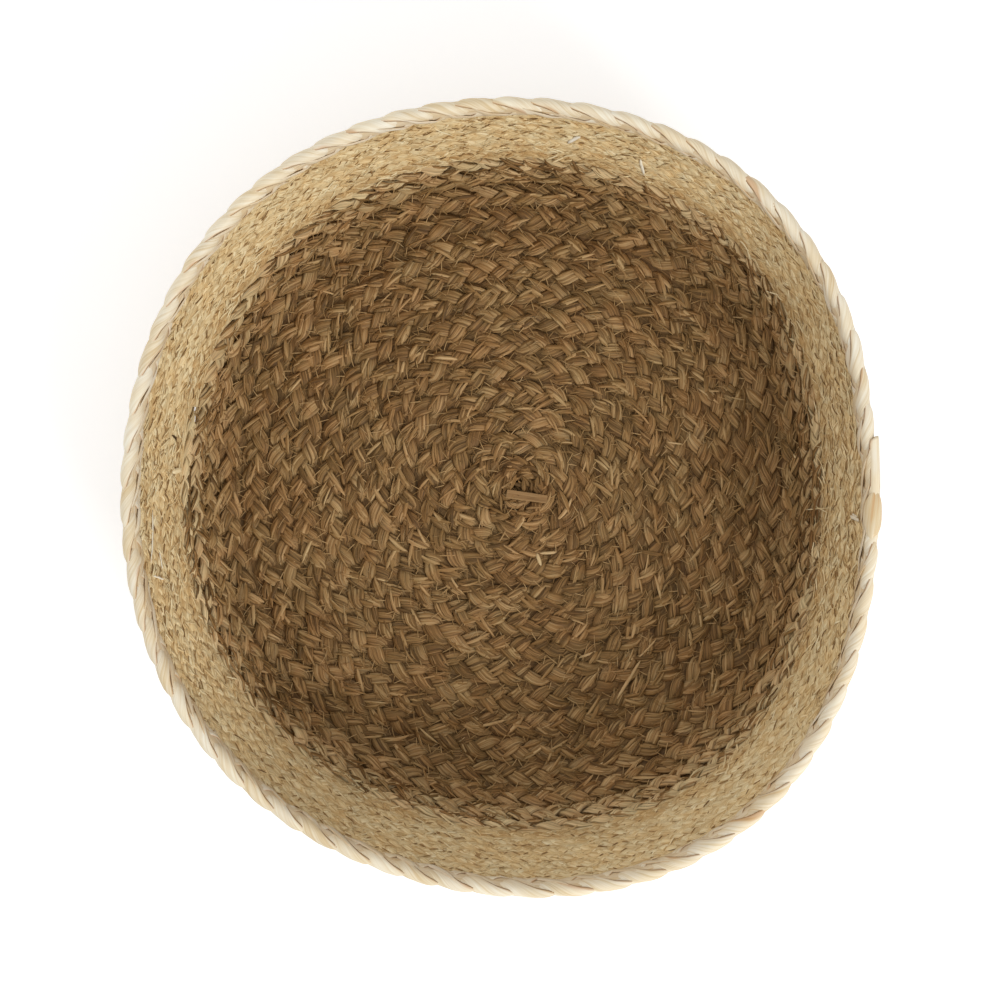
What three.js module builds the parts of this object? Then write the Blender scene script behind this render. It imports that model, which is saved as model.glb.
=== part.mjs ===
// Round storage basket of sewn plaits. Millimetres, +Z up, standing on z = 0.
// A brown plait winds out from the middle of the base and a little way up the wall,
// a fine pale plait winds on above it, and a thick husk plait closes the rim.
import * as THREE from "three";

// Plaits: the width lies along the basket's skin, the thickness through it.
const BROWN_WIDTH = 9.4;
const BROWN_THICKNESS = 4.6;
const PALE_WIDTH = 4.6;
const PALE_THICKNESS = 3.2;
const RIM_HEIGHT = 13;
const RIM_THICKNESS = 6.2;

// Clearances: between two turns, between a piece and what it lies on, and at butted ends.
const TURN_GAP = 0.55;
const SEAT_GAP = 0.3;
const BUTT_GAP = 0.6;

// The skin's middle surface, seen in section: flat base, rounded corner, flared wall.
const BASE_RADIUS = 108;
const CORNER_RADIUS = 18;
const FLARE_DEG = 22.2;

// The rim plait stands nearly upright on the wall's top row.
const RIM_LEAN_DEG = 2;

// Turns of each plait, counted from where it starts.
const BROWN_TURNS = 14 + 19 / 24;
const PALE_TURNS = 7;

// Where the brown plait starts: its narrow tip near the axis, and the side it starts on.
const TIP_INNER = 0.6;
const TIP_OUTER = 3.2;
const START_DEG = 90;
const EYE_SHIFT = 3;

// The last turn of the pale plait thins to this width, so that the rim sits level.
const PALE_END_WIDTH = 1.2;

// The pressed outline: how far each wave swells at the rim, and towards which side.
const ONE_SIDED_SWELL = 1.5;
const ONE_SIDED_DEG = 237.5;
const OVAL_SWELL = 3.8;
const OVAL_DEG = 97;
const THREE_SIDED_SWELL = 1.9;
const THREE_SIDED_DEG = 59;
const SQUARE_SWELL = 2.1;
const SQUARE_DEG = 40.5;

// Sewing thread, drawn as one cord in the groove between the turns.
const THREAD_DIAMETER = 0.7;
const THREAD_FIRST_TURN = 0.25;
const RIM_THREAD_TURNS = 23 / 24;

// Flat strip end that lies over the middle of the base.
const STRIP_LENGTH = 16.4;
const STRIP_WIDTH = 3.5;
const STRIP_THICKNESS = 0.8;
const STRIP_X = 3.8;
const STRIP_Y = -3;
const STRIP_TURN_DEG = -8;

// The rim's ends meet on the +X side, under a husk strip that lies outside them.
const SPLICE_DEG = -4;
const SPLICE_STRIP_FROM_DEG = -14;
const SPLICE_STRIP_TO_DEG = 9;
const SPLICE_STRIP_WIDTH = 7;
const SPLICE_STRIP_THICKNESS = 2.4;
const SPLICE_STRIP_THIN_END = 0.9;

// Faceting of the wound pieces.
const LOOP_STEPS = 24;
const RIM_STEPS = 72;
const PLAIT_SIDES = 6;
const THREAD_SIDES = 3;
const RIM_SIDES = 8;
const STRIP_SIDES = 4;

// Sizes that follow from the ones above.
const BROWN_PITCH = BROWN_WIDTH + TURN_GAP;
const PALE_PITCH = PALE_WIDTH + TURN_GAP;
const FLARE = THREE.MathUtils.degToRad(FLARE_DEG);
const CORNER_ANGLE = Math.PI / 2 - FLARE;
const CORNER_ARC = CORNER_RADIUS * CORNER_ANGLE;
const MIDDLE_HEIGHT = BROWN_THICKNESS / 2;
const BROWN_LAST = brownOuterEdge(BROWN_TURNS - 1);
const PALE_LAST = paleTopEdge(PALE_TURNS - 1);
const RIM_BOTTOM = PALE_LAST + TURN_GAP + PALE_END_WIDTH + TURN_GAP;
const RIM_FOOT = skinPoint(RIM_BOTTOM, 0);
const RIM_LEAN = THREE.MathUtils.degToRad(RIM_LEAN_DEG);

/** Radius and height of the point s along the section from the axis, n in from the middle surface. */
function skinPoint(s, n) {
  if (s <= BASE_RADIUS) {
    return { r: s, z: MIDDLE_HEIGHT + n };
  }
  const turn = Math.min((s - BASE_RADIUS) / CORNER_RADIUS, CORNER_ANGLE);
  const up = Math.max(s - BASE_RADIUS - CORNER_ARC, 0);
  const reach = CORNER_RADIUS - n;
  return {
    r: BASE_RADIUS + reach * Math.sin(turn) + up * Math.sin(FLARE),
    z: MIDDLE_HEIGHT + CORNER_RADIUS - reach * Math.cos(turn) + up * Math.cos(FLARE),
  };
}

/** How much wider than a circle the outline is at this angle, as a factor on the radius. */
function outlineFactor(angle) {
  const wave = (lobes, swell, side) => swell * Math.cos(lobes * (angle - THREE.MathUtils.degToRad(side)));
  const swell = wave(1, ONE_SIDED_SWELL, ONE_SIDED_DEG)
    + wave(2, OVAL_SWELL, OVAL_DEG)
    + wave(3, THREE_SIDED_SWELL, THREE_SIDED_DEG)
    + wave(4, SQUARE_SWELL, SQUARE_DEG);
  return 1 + swell / RIM_FOOT.r;
}

/** Point of the basket's skin: s along the section, n inwards from the middle, at an angle. */
function basketPoint(s, n, angle) {
  const { r, z } = skinPoint(s, n);
  const radius = r * outlineFactor(angle);
  const shift = EYE_SHIFT * Math.max(1 - s / BASE_RADIUS, 0);
  return new THREE.Vector3(shift + radius * Math.cos(angle), radius * Math.sin(angle), z);
}

/** Point of the rim plait: up from its foot, inwards from its middle, at an angle. */
function rimPoint(up, inward, angle) {
  const radius = RIM_FOOT.r + up * Math.sin(RIM_LEAN) - inward * Math.cos(RIM_LEAN);
  const height = RIM_FOOT.z + up * Math.cos(RIM_LEAN) + inward * Math.sin(RIM_LEAN);
  const out = radius * outlineFactor(angle);
  return new THREE.Vector3(out * Math.cos(angle), out * Math.sin(angle), height);
}

/** Angle at which a piece that winds clockwise has made this many turns. */
function windingAngle(turns) {
  return THREE.MathUtils.degToRad(START_DEG) - 2 * Math.PI * turns;
}

/** Outer edge of the brown plait after this many turns; the last turn thins to the pale width. */
function brownOuterEdge(turns) {
  const full = Math.min(turns, BROWN_TURNS - 1);
  return TIP_OUTER + BROWN_PITCH * full + PALE_PITCH * (turns - full);
}

/** Inner edge of the brown plait: against the turn before, or round the eye in the first turn. */
function brownInnerEdge(turns) {
  if (turns >= 1) {
    return brownOuterEdge(turns - 1) + TURN_GAP;
  }
  return THREE.MathUtils.lerp(TIP_INNER, TIP_OUTER + TURN_GAP, turns);
}

/** Top edge of the pale plait after this many turns; the last turn thins under the rim. */
function paleTopEdge(turns) {
  const full = Math.min(turns, PALE_TURNS - 1);
  return BROWN_LAST + PALE_PITCH * (full + 1) + (PALE_END_WIDTH + TURN_GAP) * (turns - full);
}

/** Bottom edge of the pale plait, on the brown plait's last turn and then on its own. */
function paleBottomEdge(turns) {
  const below = turns >= 1 ? paleTopEdge(turns - 1) : BROWN_LAST + PALE_PITCH * turns;
  return below + TURN_GAP;
}

/** Corners of a regular section whose box runs from -1 to 1 both ways. */
function sectionCorners(sides, firstCorner) {
  const corners = [];
  for (let k = 0; k < sides; k += 1) {
    const a = firstCorner + (2 * Math.PI * k) / sides;
    corners.push([Math.cos(a), Math.sin(a)]);
  }
  const wide = Math.max(...corners.map(([across]) => Math.abs(across)));
  const thick = Math.max(...corners.map(([, through]) => Math.abs(through)));
  return corners.map(([across, through]) => [across / wide, through / thick]);
}

/** Turns or angles from one value to another, on the marks of an even grid in between. */
function gridStops(from, to, perUnit) {
  const stops = [from];
  for (let mark = Math.floor(from * perUnit + 1e-6) + 1; mark < to * perUnit - 1e-6; mark += 1) {
    stops.push(mark / perUnit);
  }
  stops.push(to);
  return stops;
}

/** One ring of corners: low and high edge along the section, middle and thickness through it. */
function ring(corners, low, high, middle, thickness, angle) {
  const centre = (low + high) / 2;
  const half = (high - low) / 2;
  return corners.map(([across, through]) => (
    basketPoint(centre + half * across, middle + (thickness / 2) * through, angle)
  ));
}

/** One ring of corners in the upright rim: low and high edge over its foot, middle and thickness. */
function rimRing(corners, low, high, middle, thickness, angle) {
  const centre = (low + high) / 2;
  const half = (high - low) / 2;
  return corners.map(([across, through]) => (
    rimPoint(centre + half * across, middle + (thickness / 2) * through, angle)
  ));
}

/** Closed solid through a row of rings, each joined to the next, with a flat cap at both ends. */
function sweptSolid(rings) {
  const sides = rings[0].length;
  const positions = rings.flat().flatMap((p) => [p.x, p.y, p.z]);
  const faces = [];
  for (let i = 0; i + 1 < rings.length; i += 1) {
    for (let k = 0; k < sides; k += 1) {
      const a = i * sides + k;
      const b = i * sides + ((k + 1) % sides);
      faces.push(a, b, b + sides, a, b + sides, a + sides);
    }
  }
  const last = (rings.length - 1) * sides;
  for (let k = 1; k + 1 < sides; k += 1) {
    faces.push(0, k + 1, k, last, last + k, last + k + 1);
  }
  const geometry = new THREE.BufferGeometry();
  geometry.setAttribute("position", new THREE.Float32BufferAttribute(positions, 3));
  geometry.setIndex(signedVolume(rings, faces) < 0 ? faces.reverse() : faces);
  geometry.computeVertexNormals();
  return geometry;
}

/** Volume inside the faces: negative when they point inwards. */
function signedVolume(rings, faces) {
  const points = rings.flat();
  let volume = 0;
  for (let i = 0; i < faces.length; i += 3) {
    const [a, b, c] = [points[faces[i]], points[faces[i + 1]], points[faces[i + 2]]];
    volume += a.dot(new THREE.Vector3().crossVectors(b, c)) / 6;
  }
  return volume;
}

/** Least distance between corners that lie more than half a turn apart on a wound piece. */
function leastGapToItself(rings) {
  let least = Infinity;
  for (let i = 0; i < rings.length; i += 1) {
    for (let j = i + LOOP_STEPS / 2; j < rings.length; j += 1) {
      for (const p of rings[i]) {
        for (const q of rings[j]) {
          least = Math.min(least, p.distanceTo(q));
        }
      }
    }
  }
  return least;
}

/** Height over the middle surface at which a thread lies in the groove between two turns. */
function threadSeat(width, thickness) {
  const acrossBevel = width / 4;
  const upBevel = thickness / 2;
  const clearance = THREAD_DIAMETER / 2 + SEAT_GAP;
  const bevel = Math.hypot(acrossBevel, upBevel);
  return (clearance * bevel - (TURN_GAP / 2) * upBevel) / acrossBevel;
}

/** The brown plait: from the eye of the base, out over it, round the corner and up the wall. */
function brownBraidRings() {
  const corners = sectionCorners(PLAIT_SIDES, 0);
  return gridStops(0, BROWN_TURNS, LOOP_STEPS).map((turns) => (
    ring(corners, brownInnerEdge(turns), brownOuterEdge(turns), 0, BROWN_THICKNESS, windingAngle(turns))
  ));
}

/** The fine pale plait: it starts where the brown one ends and winds on up to the rim. */
function paleBraidRings() {
  const corners = sectionCorners(PLAIT_SIDES, 0);
  const start = BUTT_GAP / (2 * Math.PI * skinPoint(BROWN_LAST, 0).r);
  return paleStops(start, PALE_TURNS).map((turns) => (
    ring(corners, paleBottomEdge(turns), paleTopEdge(turns), 0, PALE_THICKNESS,
      windingAngle(BROWN_TURNS + turns))
  ));
}

/** Turns of the pale plait on the brown plait's own marks, so that their facets lie parallel. */
function paleStops(from, to) {
  return gridStops(BROWN_TURNS + from, BROWN_TURNS + to, LOOP_STEPS).map((turns) => turns - BROWN_TURNS);
}

/** Thread that sews the brown turns together. */
function brownThreadRings() {
  const corners = sectionCorners(THREAD_SIDES, -Math.PI / 2);
  const seat = threadSeat(BROWN_WIDTH, BROWN_THICKNESS);
  const end = BROWN_TURNS - 1 - BUTT_GAP / (2 * Math.PI * skinPoint(BROWN_LAST, 0).r);
  return gridStops(THREAD_FIRST_TURN, end, LOOP_STEPS).map((turns) => {
    const joint = brownOuterEdge(turns) + TURN_GAP / 2;
    return threadRing(corners, joint, seat, windingAngle(turns));
  });
}

/** Thread that sews the pale turns to the brown plait and to each other. */
function paleThreadRings() {
  const corners = sectionCorners(THREAD_SIDES, -Math.PI / 2);
  const seat = threadSeat(PALE_WIDTH, PALE_THICKNESS);
  const brownSeat = threadSeat(BROWN_WIDTH, BROWN_THICKNESS);
  return paleStops(-1, PALE_TURNS - 1).map((turns) => {
    const joint = (turns < 0 ? brownOuterEdge(BROWN_TURNS + turns) : paleTopEdge(turns)) + TURN_GAP / 2;
    return threadRing(corners, joint, Math.max(seat, brownSeat), windingAngle(BROWN_TURNS + turns));
  });
}

/** Ring of a thread whose middle lies at a joint, this high over the middle surface. */
function threadRing(corners, joint, seat, angle) {
  const half = THREAD_DIAMETER / 2;
  return ring(corners, joint - half, joint + half, seat, THREAD_DIAMETER, angle);
}

/** Angles round the rim from one side to another, counter-clockwise, on the rim's own marks. */
function rimAngles(fromDeg, toDeg) {
  return gridStops(fromDeg, toDeg, RIM_STEPS / 360).map(THREE.MathUtils.degToRad);
}

/** The thick husk plait on the top edge, open where its two ends meet. */
function rimBraidRings() {
  const corners = sectionCorners(RIM_SIDES, Math.PI / RIM_SIDES);
  const butt = THREE.MathUtils.radToDeg(BUTT_GAP / RIM_FOOT.r);
  return rimAngles(SPLICE_DEG, SPLICE_DEG + 360 - butt).map((angle) => (
    rimRing(corners, 0, RIM_HEIGHT, 0, RIM_THICKNESS, angle)
  ));
}

/** Thread along the foot of the rim, inside, in the groove over the pale plait. */
function rimThreadRings() {
  const corners = sectionCorners(THREAD_SIDES, -Math.PI / 2);
  const foot = Math.max((RIM_THICKNESS / 2) * Math.tan(Math.PI / RIM_SIDES), PALE_THICKNESS / 2);
  const seat = foot + SEAT_GAP + THREAD_DIAMETER / 2;
  return gridStops(0, RIM_THREAD_TURNS, LOOP_STEPS).map((turns) => (
    threadRing(corners, RIM_BOTTOM - TURN_GAP, seat, 2 * Math.PI * turns)
  ));
}

/** Husk strip outside the rim's joint: full thickness at its free end, thin where it tucks in. */
function spliceStripRings() {
  const corners = sectionCorners(STRIP_SIDES, Math.PI / STRIP_SIDES);
  const low = (RIM_HEIGHT - SPLICE_STRIP_WIDTH) / 2;
  return rimAngles(SPLICE_STRIP_FROM_DEG, SPLICE_STRIP_TO_DEG).map((angle, i, all) => {
    const along = (angle - all[0]) / (all[all.length - 1] - all[0]);
    const thickness = THREE.MathUtils.lerp(SPLICE_STRIP_THIN_END, SPLICE_STRIP_THICKNESS, along);
    const middle = -(RIM_THICKNESS / 2 + SEAT_GAP + thickness / 2);
    return rimRing(corners, low, low + SPLICE_STRIP_WIDTH, middle, thickness, angle);
  });
}

/** Dry plant fibre of one colour. */
function fibre(color, roughness) {
  return new THREE.MeshStandardMaterial({ color, roughness, metalness: 0 });
}

/** Named mesh of a piece that follows the basket's skin. */
function woundPiece(name, rings, material) {
  const piece = new THREE.Mesh(sweptSolid(rings), material);
  piece.name = name;
  return piece;
}

/** Wound plait that also prints how close it comes to itself. */
function woundBraid(name, rings, material) {
  console.log(`${name}: least gap to itself ${leastGapToItself(rings).toFixed(2)} mm`);
  return woundPiece(name, rings, material);
}

/** Flat strip end that lies on the plait over the eye of the base. */
function centreStrip(material) {
  const strip = new THREE.Mesh(new THREE.BoxGeometry(STRIP_LENGTH, STRIP_WIDTH, STRIP_THICKNESS), material);
  strip.name = "centre_strip";
  strip.position.set(EYE_SHIFT + STRIP_X, STRIP_Y, BROWN_THICKNESS + SEAT_GAP + STRIP_THICKNESS / 2);
  strip.rotation.z = THREE.MathUtils.degToRad(STRIP_TURN_DEG);
  return strip;
}

/** The whole basket, with the middle of its outline on the origin. */
function buildBasket() {
  const brown = fibre(0x6f5738, 0.85);
  const pale = fibre(0xb59d73, 0.8);
  const cream = fibre(0xe6d8b9, 0.6);
  const thread = fibre(0xa88f66, 0.7);
  const basket = new THREE.Group();
  basket.add(
    woundBraid("brown_braid", brownBraidRings(), brown),
    woundBraid("pale_braid", paleBraidRings(), pale),
    woundPiece("rim_braid", rimBraidRings(), cream),
    woundPiece("brown_seam_thread", brownThreadRings(), thread),
    woundPiece("pale_seam_thread", paleThreadRings(), thread),
    woundPiece("rim_seam_thread", rimThreadRings(), thread),
    woundPiece("rim_splice_strip", spliceStripRings(), cream),
    centreStrip(fibre(0x9a8260, 0.75)),
  );
  const middle = new THREE.Box3().setFromObject(basket).getCenter(new THREE.Vector3());
  basket.position.set(-middle.x, -middle.y, 0);
  return basket;
}

export default buildBasket();
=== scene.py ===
"""Round storage basket of sewn plaits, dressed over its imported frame.

A brown three-strand plait is coiled into the base and the foot of the wall, a fine pale plait
makes the rest of the wall, and a thick husk plait closes the rim. Every strip of the strands,
every stitch and the loose fibres are modelled.
"""
import logging
import math
from dataclasses import dataclass
from enum import Enum
from typing import Callable, Sequence

import bpy
import numpy as np
from mathutils import Matrix, Vector
from mathutils.bvhtree import BVHTree


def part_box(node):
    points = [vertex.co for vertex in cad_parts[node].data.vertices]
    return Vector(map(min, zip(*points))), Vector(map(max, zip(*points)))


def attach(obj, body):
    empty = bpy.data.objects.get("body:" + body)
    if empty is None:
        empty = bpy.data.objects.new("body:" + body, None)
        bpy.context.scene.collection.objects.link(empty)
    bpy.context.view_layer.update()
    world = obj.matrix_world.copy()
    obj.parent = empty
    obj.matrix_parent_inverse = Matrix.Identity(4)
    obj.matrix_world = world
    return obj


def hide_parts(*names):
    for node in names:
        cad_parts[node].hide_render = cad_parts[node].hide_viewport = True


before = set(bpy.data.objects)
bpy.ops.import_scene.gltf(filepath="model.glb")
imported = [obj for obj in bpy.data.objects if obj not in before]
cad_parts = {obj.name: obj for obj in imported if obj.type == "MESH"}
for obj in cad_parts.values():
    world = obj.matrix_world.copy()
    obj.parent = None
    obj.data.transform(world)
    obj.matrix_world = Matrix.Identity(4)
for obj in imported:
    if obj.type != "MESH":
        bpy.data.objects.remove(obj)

LOG = logging.getLogger("basket")
MM = 0.001
Shade = tuple[float, float, float]
Setting = bpy.types.NodeSocket | float | tuple[float, ...]
ROOT = "root"
FIBRE_MAP = "fibre"
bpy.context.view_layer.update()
# Fibre below the height PRESSED is flattened, and none comes nearer to the floor than FLOOR_GAP.
PRESSED = 0.9 * MM
FLOOR_GAP = 0.12 * MM


@dataclass(frozen=True)
class Winding:
    """How the rows of the two wound plaits follow each other up the section.

    Attributes:
        row_gap: Clearance between two rows of the frame's plaits.
        brown_width: Width of the brown plait.
        pale_width: Width of the pale plait.
        brown_turns: Turns of the brown plait.
        pale_turns: Turns of the pale plait.
        tip_inner: Inner edge of the brown plait's tip.
        tip_outer: Outer edge of the brown plait's tip.
        start: Angle at which the brown plait starts.
        pale_end_width: Width to which the pale plait thins under the rim.
    """

    row_gap: float = 0.55 * MM
    brown_width: float = 9.4 * MM
    pale_width: float = 4.6 * MM
    brown_turns: float = 14 + 19 / 24
    pale_turns: float = 7.0
    tip_inner: float = 0.6 * MM
    tip_outer: float = 3.2 * MM
    start: float = math.radians(90)
    pale_end_width: float = 1.2 * MM

    @property
    def brown_end(self) -> float:
        """Turns after which the brown plait's last row starts."""
        return self.brown_turns - 1

    @property
    def pale_end(self) -> float:
        """Turns from the eye after which the pale rows' joint ends."""
        return self.brown_end + self.pale_turns

    @property
    def brown_last(self) -> float:
        """Outer edge of the brown plait where its last row starts."""
        return float(self.brown_outer(np.asarray(self.brown_end)))

    @property
    def brown_pitch(self) -> float:
        """Row spacing of the brown plait."""
        return self.brown_width + self.row_gap

    @property
    def pale_pitch(self) -> float:
        """Row spacing of the pale plait."""
        return self.pale_width + self.row_gap

    def angle(self, turns: np.ndarray) -> np.ndarray:
        """Angle round the axis after these turns, clockwise from the start."""
        return self.start - 2 * np.pi * turns

    def pale_angle(self, turns: np.ndarray) -> np.ndarray:
        """Angle round the axis after these turns of the pale plait."""
        return self.angle(self.brown_turns + turns)

    def brown_outer(self, turns: np.ndarray) -> np.ndarray:
        """Outer edge of the brown plait after these turns."""
        full = np.minimum(turns, self.brown_end)
        return self.tip_outer + self.brown_pitch * full + self.pale_pitch * (turns - full)

    def brown_inner(self, turns: np.ndarray) -> np.ndarray:
        """Inner edge of the brown plait after these turns."""
        first = self.tip_inner + (self.tip_outer + self.row_gap - self.tip_inner) * turns
        return np.where(turns >= 1, self.brown_outer(turns - 1) + self.row_gap, first)

    def brown_edges(self, turns: np.ndarray) -> tuple[np.ndarray, np.ndarray]:
        """Inner and outer edge of the brown plait after these turns."""
        return self.brown_inner(turns), self.brown_outer(turns)

    def brown_joint(self, turns: np.ndarray) -> np.ndarray:
        """Joint outside the brown plait after these turns."""
        return self.brown_outer(turns) + self.row_gap / 2

    def pale_top(self, turns: np.ndarray) -> np.ndarray:
        """Top edge of the pale plait, which thins in its last turn.

        Args:
            turns: Turns of the pale plait.

        Returns:
            Distance along the section.
        """
        full = np.minimum(turns, self.pale_turns - 1)
        end_rise = self.pale_end_width + self.row_gap
        return self.brown_last + self.pale_pitch * (full + 1) + end_rise * (turns - full)

    def pale_bottom(self, turns: np.ndarray) -> np.ndarray:
        """Bottom edge of the pale plait after these turns."""
        first = self.brown_last + self.pale_pitch * turns
        return np.where(turns >= 1, self.pale_top(turns - 1), first) + self.row_gap

    def pale_edges(self, turns: np.ndarray) -> tuple[np.ndarray, np.ndarray]:
        """Bottom and top edge of the pale plait after these turns."""
        return self.pale_bottom(turns), self.pale_top(turns)

    def pale_joint(self, turns: np.ndarray) -> np.ndarray:
        """Joint under and between the pale rows, after these turns from the eye."""
        return self.brown_last + self.pale_pitch * (turns - self.brown_end) + self.row_gap / 2

    def rim_bottom(self) -> float:
        """Foot of the rim plait along the section."""
        last = float(self.pale_top(np.asarray(self.pale_turns - 1)))
        return last + 2 * self.row_gap + self.pale_end_width


@dataclass(frozen=True)
class BasketSkin:
    """Middle surface: flat base, rounded corner, flared wall and upright rim, out of round.

    Attributes:
        winding: Rows of the plaits, which set where the rim starts.
        base_radius: Radius of the flat base.
        corner_radius: Radius of the rounded corner in section.
        flare: Lean of the wall away from upright, in radians.
        rim_lean: Lean of the rim away from upright, in radians.
        middle_height: Height of the middle surface over the floor in the base.
        eye_shift: How far the eye of the base lies to +X of the wall's axis.
        axis_x: Place of the wall's axis in the frame.
        axis_y: Place of the wall's axis in the frame.
        swells: Lobes, swell at the rim's foot and side of each wave of the outline.
    """

    winding: Winding = Winding()
    base_radius: float = 108 * MM
    corner_radius: float = 18 * MM
    flare: float = math.radians(22.2)
    rim_lean: float = math.radians(2)
    middle_height: float = 2.3 * MM
    eye_shift: float = 3 * MM
    axis_x: float = 1.759 * MM
    axis_y: float = 1.550 * MM
    swells: tuple[tuple[int, float, float], ...] = (
        (1, 1.5 * MM, math.radians(237.5)),
        (2, 3.8 * MM, math.radians(97)),
        (3, 1.9 * MM, math.radians(59)),
        (4, 2.1 * MM, math.radians(40.5)),
    )

    @property
    def corner_angle(self) -> float:
        """Angle that the section turns through from the base to the wall."""
        return math.pi / 2 - self.flare

    @property
    def wall_start(self) -> float:
        """Distance along the section at which the straight wall starts."""
        return self.base_radius + self.corner_radius * self.corner_angle

    @property
    def rim_radius(self) -> float:
        """Radius at the foot of the rim, before the swells."""
        wall = (self.winding.rim_bottom() - self.wall_start) * math.sin(self.flare)
        return self.base_radius + self.corner_radius * math.sin(self.corner_angle) + wall

    def section(self, s: np.ndarray, n: np.ndarray) -> tuple[np.ndarray, np.ndarray]:
        """Radius and height of points in the section.

        Args:
            s: Distance from the axis along the section.
            n: Distance inwards from the middle surface.

        Returns:
            Radius and height of each point.
        """
        foot = self.winding.rim_bottom()
        upright = np.maximum(s - foot, 0.0)
        inward = np.where(s > foot, n, 0.0)
        turn = np.clip((s - self.base_radius) / self.corner_radius, 0.0, self.corner_angle)
        up = np.clip(s, self.wall_start, foot) - self.wall_start
        reach = self.corner_radius - np.where(s > foot, 0.0, n)
        radius = np.minimum(s, self.base_radius) + reach * np.sin(turn) + up * math.sin(self.flare)
        height = self.middle_height + self.corner_radius - reach * np.cos(turn) + up * math.cos(self.flare)
        radius = radius + upright * math.sin(self.rim_lean) - inward * math.cos(self.rim_lean)
        height = height + upright * math.cos(self.rim_lean) + inward * math.sin(self.rim_lean)
        return radius, height

    def place(self, s: np.ndarray, n: np.ndarray, angle: np.ndarray) -> np.ndarray:
        """Points of the basket in the frame.

        Args:
            s: Distance from the axis along the section.
            n: Distance inwards from the middle surface.
            angle: Angle round the axis, counter-clockwise seen from above.

        Returns:
            Array of points, one more dimension than the arguments.
        """
        return self.out_of_round(*self.section(s, n), angle, 1 - s / self.base_radius)

    def meet(self, start: Vector, run: Vector) -> tuple[float, float]:
        """Place on the inside of the basket that a ray from above meets.

        Args:
            start: Start of the ray.
            run: Its direction.

        Returns:
            Distance along the section and angle of the place.
        """
        s = np.linspace(1 * MM, self.winding.rim_bottom(), 1500)
        _, height = self.section(s, np.zeros_like(s))
        reach = (start.z - height) / -run.z
        x, y = start.x + run.x * reach, start.y + run.y * reach
        shift = self.eye_shift * np.maximum(1 - s / self.base_radius, 0.0)
        angle = np.arctan2(y - self.axis_y, x - self.axis_x - shift)
        points = self.place(s, np.zeros_like(s), angle)
        nearest = int(np.argmin(np.hypot(points[:, 0] - x, points[:, 1] - y)))
        return float(s[nearest]), float(angle[nearest])

    def rim_place(self, up: np.ndarray, outward: np.ndarray, angle: np.ndarray) -> np.ndarray:
        """Points of the upright rim in the frame.

        Args:
            up: Height over the rim's foot, along its lean.
            outward: Distance outwards from its middle.
            angle: Angle round the axis.

        Returns:
            Array of points, one more dimension than the arguments.
        """
        foot_radius, foot_height = self.section(np.asarray(self.winding.rim_bottom()), np.asarray(0.0))
        radius = foot_radius + up * math.sin(self.rim_lean) + outward * math.cos(self.rim_lean)
        height = foot_height + up * math.cos(self.rim_lean) - outward * math.sin(self.rim_lean)
        return self.out_of_round(radius, height, angle, np.asarray(0.0))

    def out_of_round(
        self, radius: np.ndarray, height: np.ndarray, angle: np.ndarray, inner: np.ndarray
    ) -> np.ndarray:
        """Points at this radius and height, with the swells and the shifted eye.

        Args:
            radius: Radius before the swells.
            height: Height over the floor.
            angle: Angle round the axis.
            inner: 1 at the eye and 0 or less past the base, for the eye's shift.

        Returns:
            Array of points.
        """
        factor = np.ones_like(angle)
        for lobes, swell, side in self.swells:
            factor = factor + swell / self.rim_radius * np.cos(lobes * (angle - side))
        x = self.axis_x + self.eye_shift * np.maximum(inner, 0.0) + radius * factor * np.cos(angle)
        y = self.axis_y + radius * factor * np.sin(angle)
        return np.stack(np.broadcast_arrays(x, y, height), axis=-1)


class Drift:
    """Smooth random value along a length, the same in every run.

    Attributes:
        SPARE: Knots past the two ends.
        LEAD: Knots before the start.
    """

    SPARE = 6
    LEAD = 2

    def __init__(self, rng: np.random.Generator, length: float, spacing: float) -> None:
        """Draw the knots.

        Args:
            rng: Seeded source of the knots.
            length: Length that the value is asked for.
            spacing: Distance between two knots.
        """
        self.spacing = spacing
        self.knots = rng.uniform(-1.0, 1.0, int(length / spacing) + self.SPARE)

    def at(self, along: np.ndarray) -> np.ndarray:
        """Value at these lengths.

        Args:
            along: Distances along the length.

        Returns:
            Values between -1 and 1.
        """
        position = np.clip(along / self.spacing + self.LEAD, 0, len(self.knots) - 2.001)
        low = np.floor(position).astype(int)
        part = position - low
        blend = part * part * (3 - 2 * part)
        return self.knots[low] * (1 - blend) + self.knots[low + 1] * blend


def drifts(rng: np.random.Generator, along: np.ndarray, spacing: float, count: int) -> np.ndarray:
    """Drifting values, one column for each point across.

    Args:
        rng: Seeded source of the values.
        along: Distances from 0 to the whole length.
        spacing: Distance between two knots.
        count: Number of columns.

    Returns:
        Array shaped (distances, columns).
    """
    return np.stack([Drift(rng, along[-1], spacing).at(along) for _ in range(count)], axis=1)


def outline(top_count: int, under_count: int) -> tuple[np.ndarray, np.ndarray]:
    """Points round the section of a flat strip.

    Args:
        top_count: Points across its top, with both edges.
        under_count: Points across its underside, without the edges.

    Returns:
        Place across, from -1 to 1, and 1 on the top or -1 below.
    """
    top = np.linspace(-1, 1, top_count)
    under = np.linspace(1, -1, under_count + 2)[1:-1]
    return np.concatenate([top, under]), np.concatenate([np.ones(len(top)), -np.ones(len(under))])


def measured(steps: np.ndarray) -> np.ndarray:
    """Distances from 0 along a line with these steps."""
    return np.concatenate([[0.0], np.cumsum(steps)])


def fibre_map(along: np.ndarray, around: np.ndarray) -> np.ndarray:
    """Texture coordinates of a body, from distances along it and round its section."""
    return np.stack(np.broadcast_arrays(along[:, None], around), axis=-1)


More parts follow.
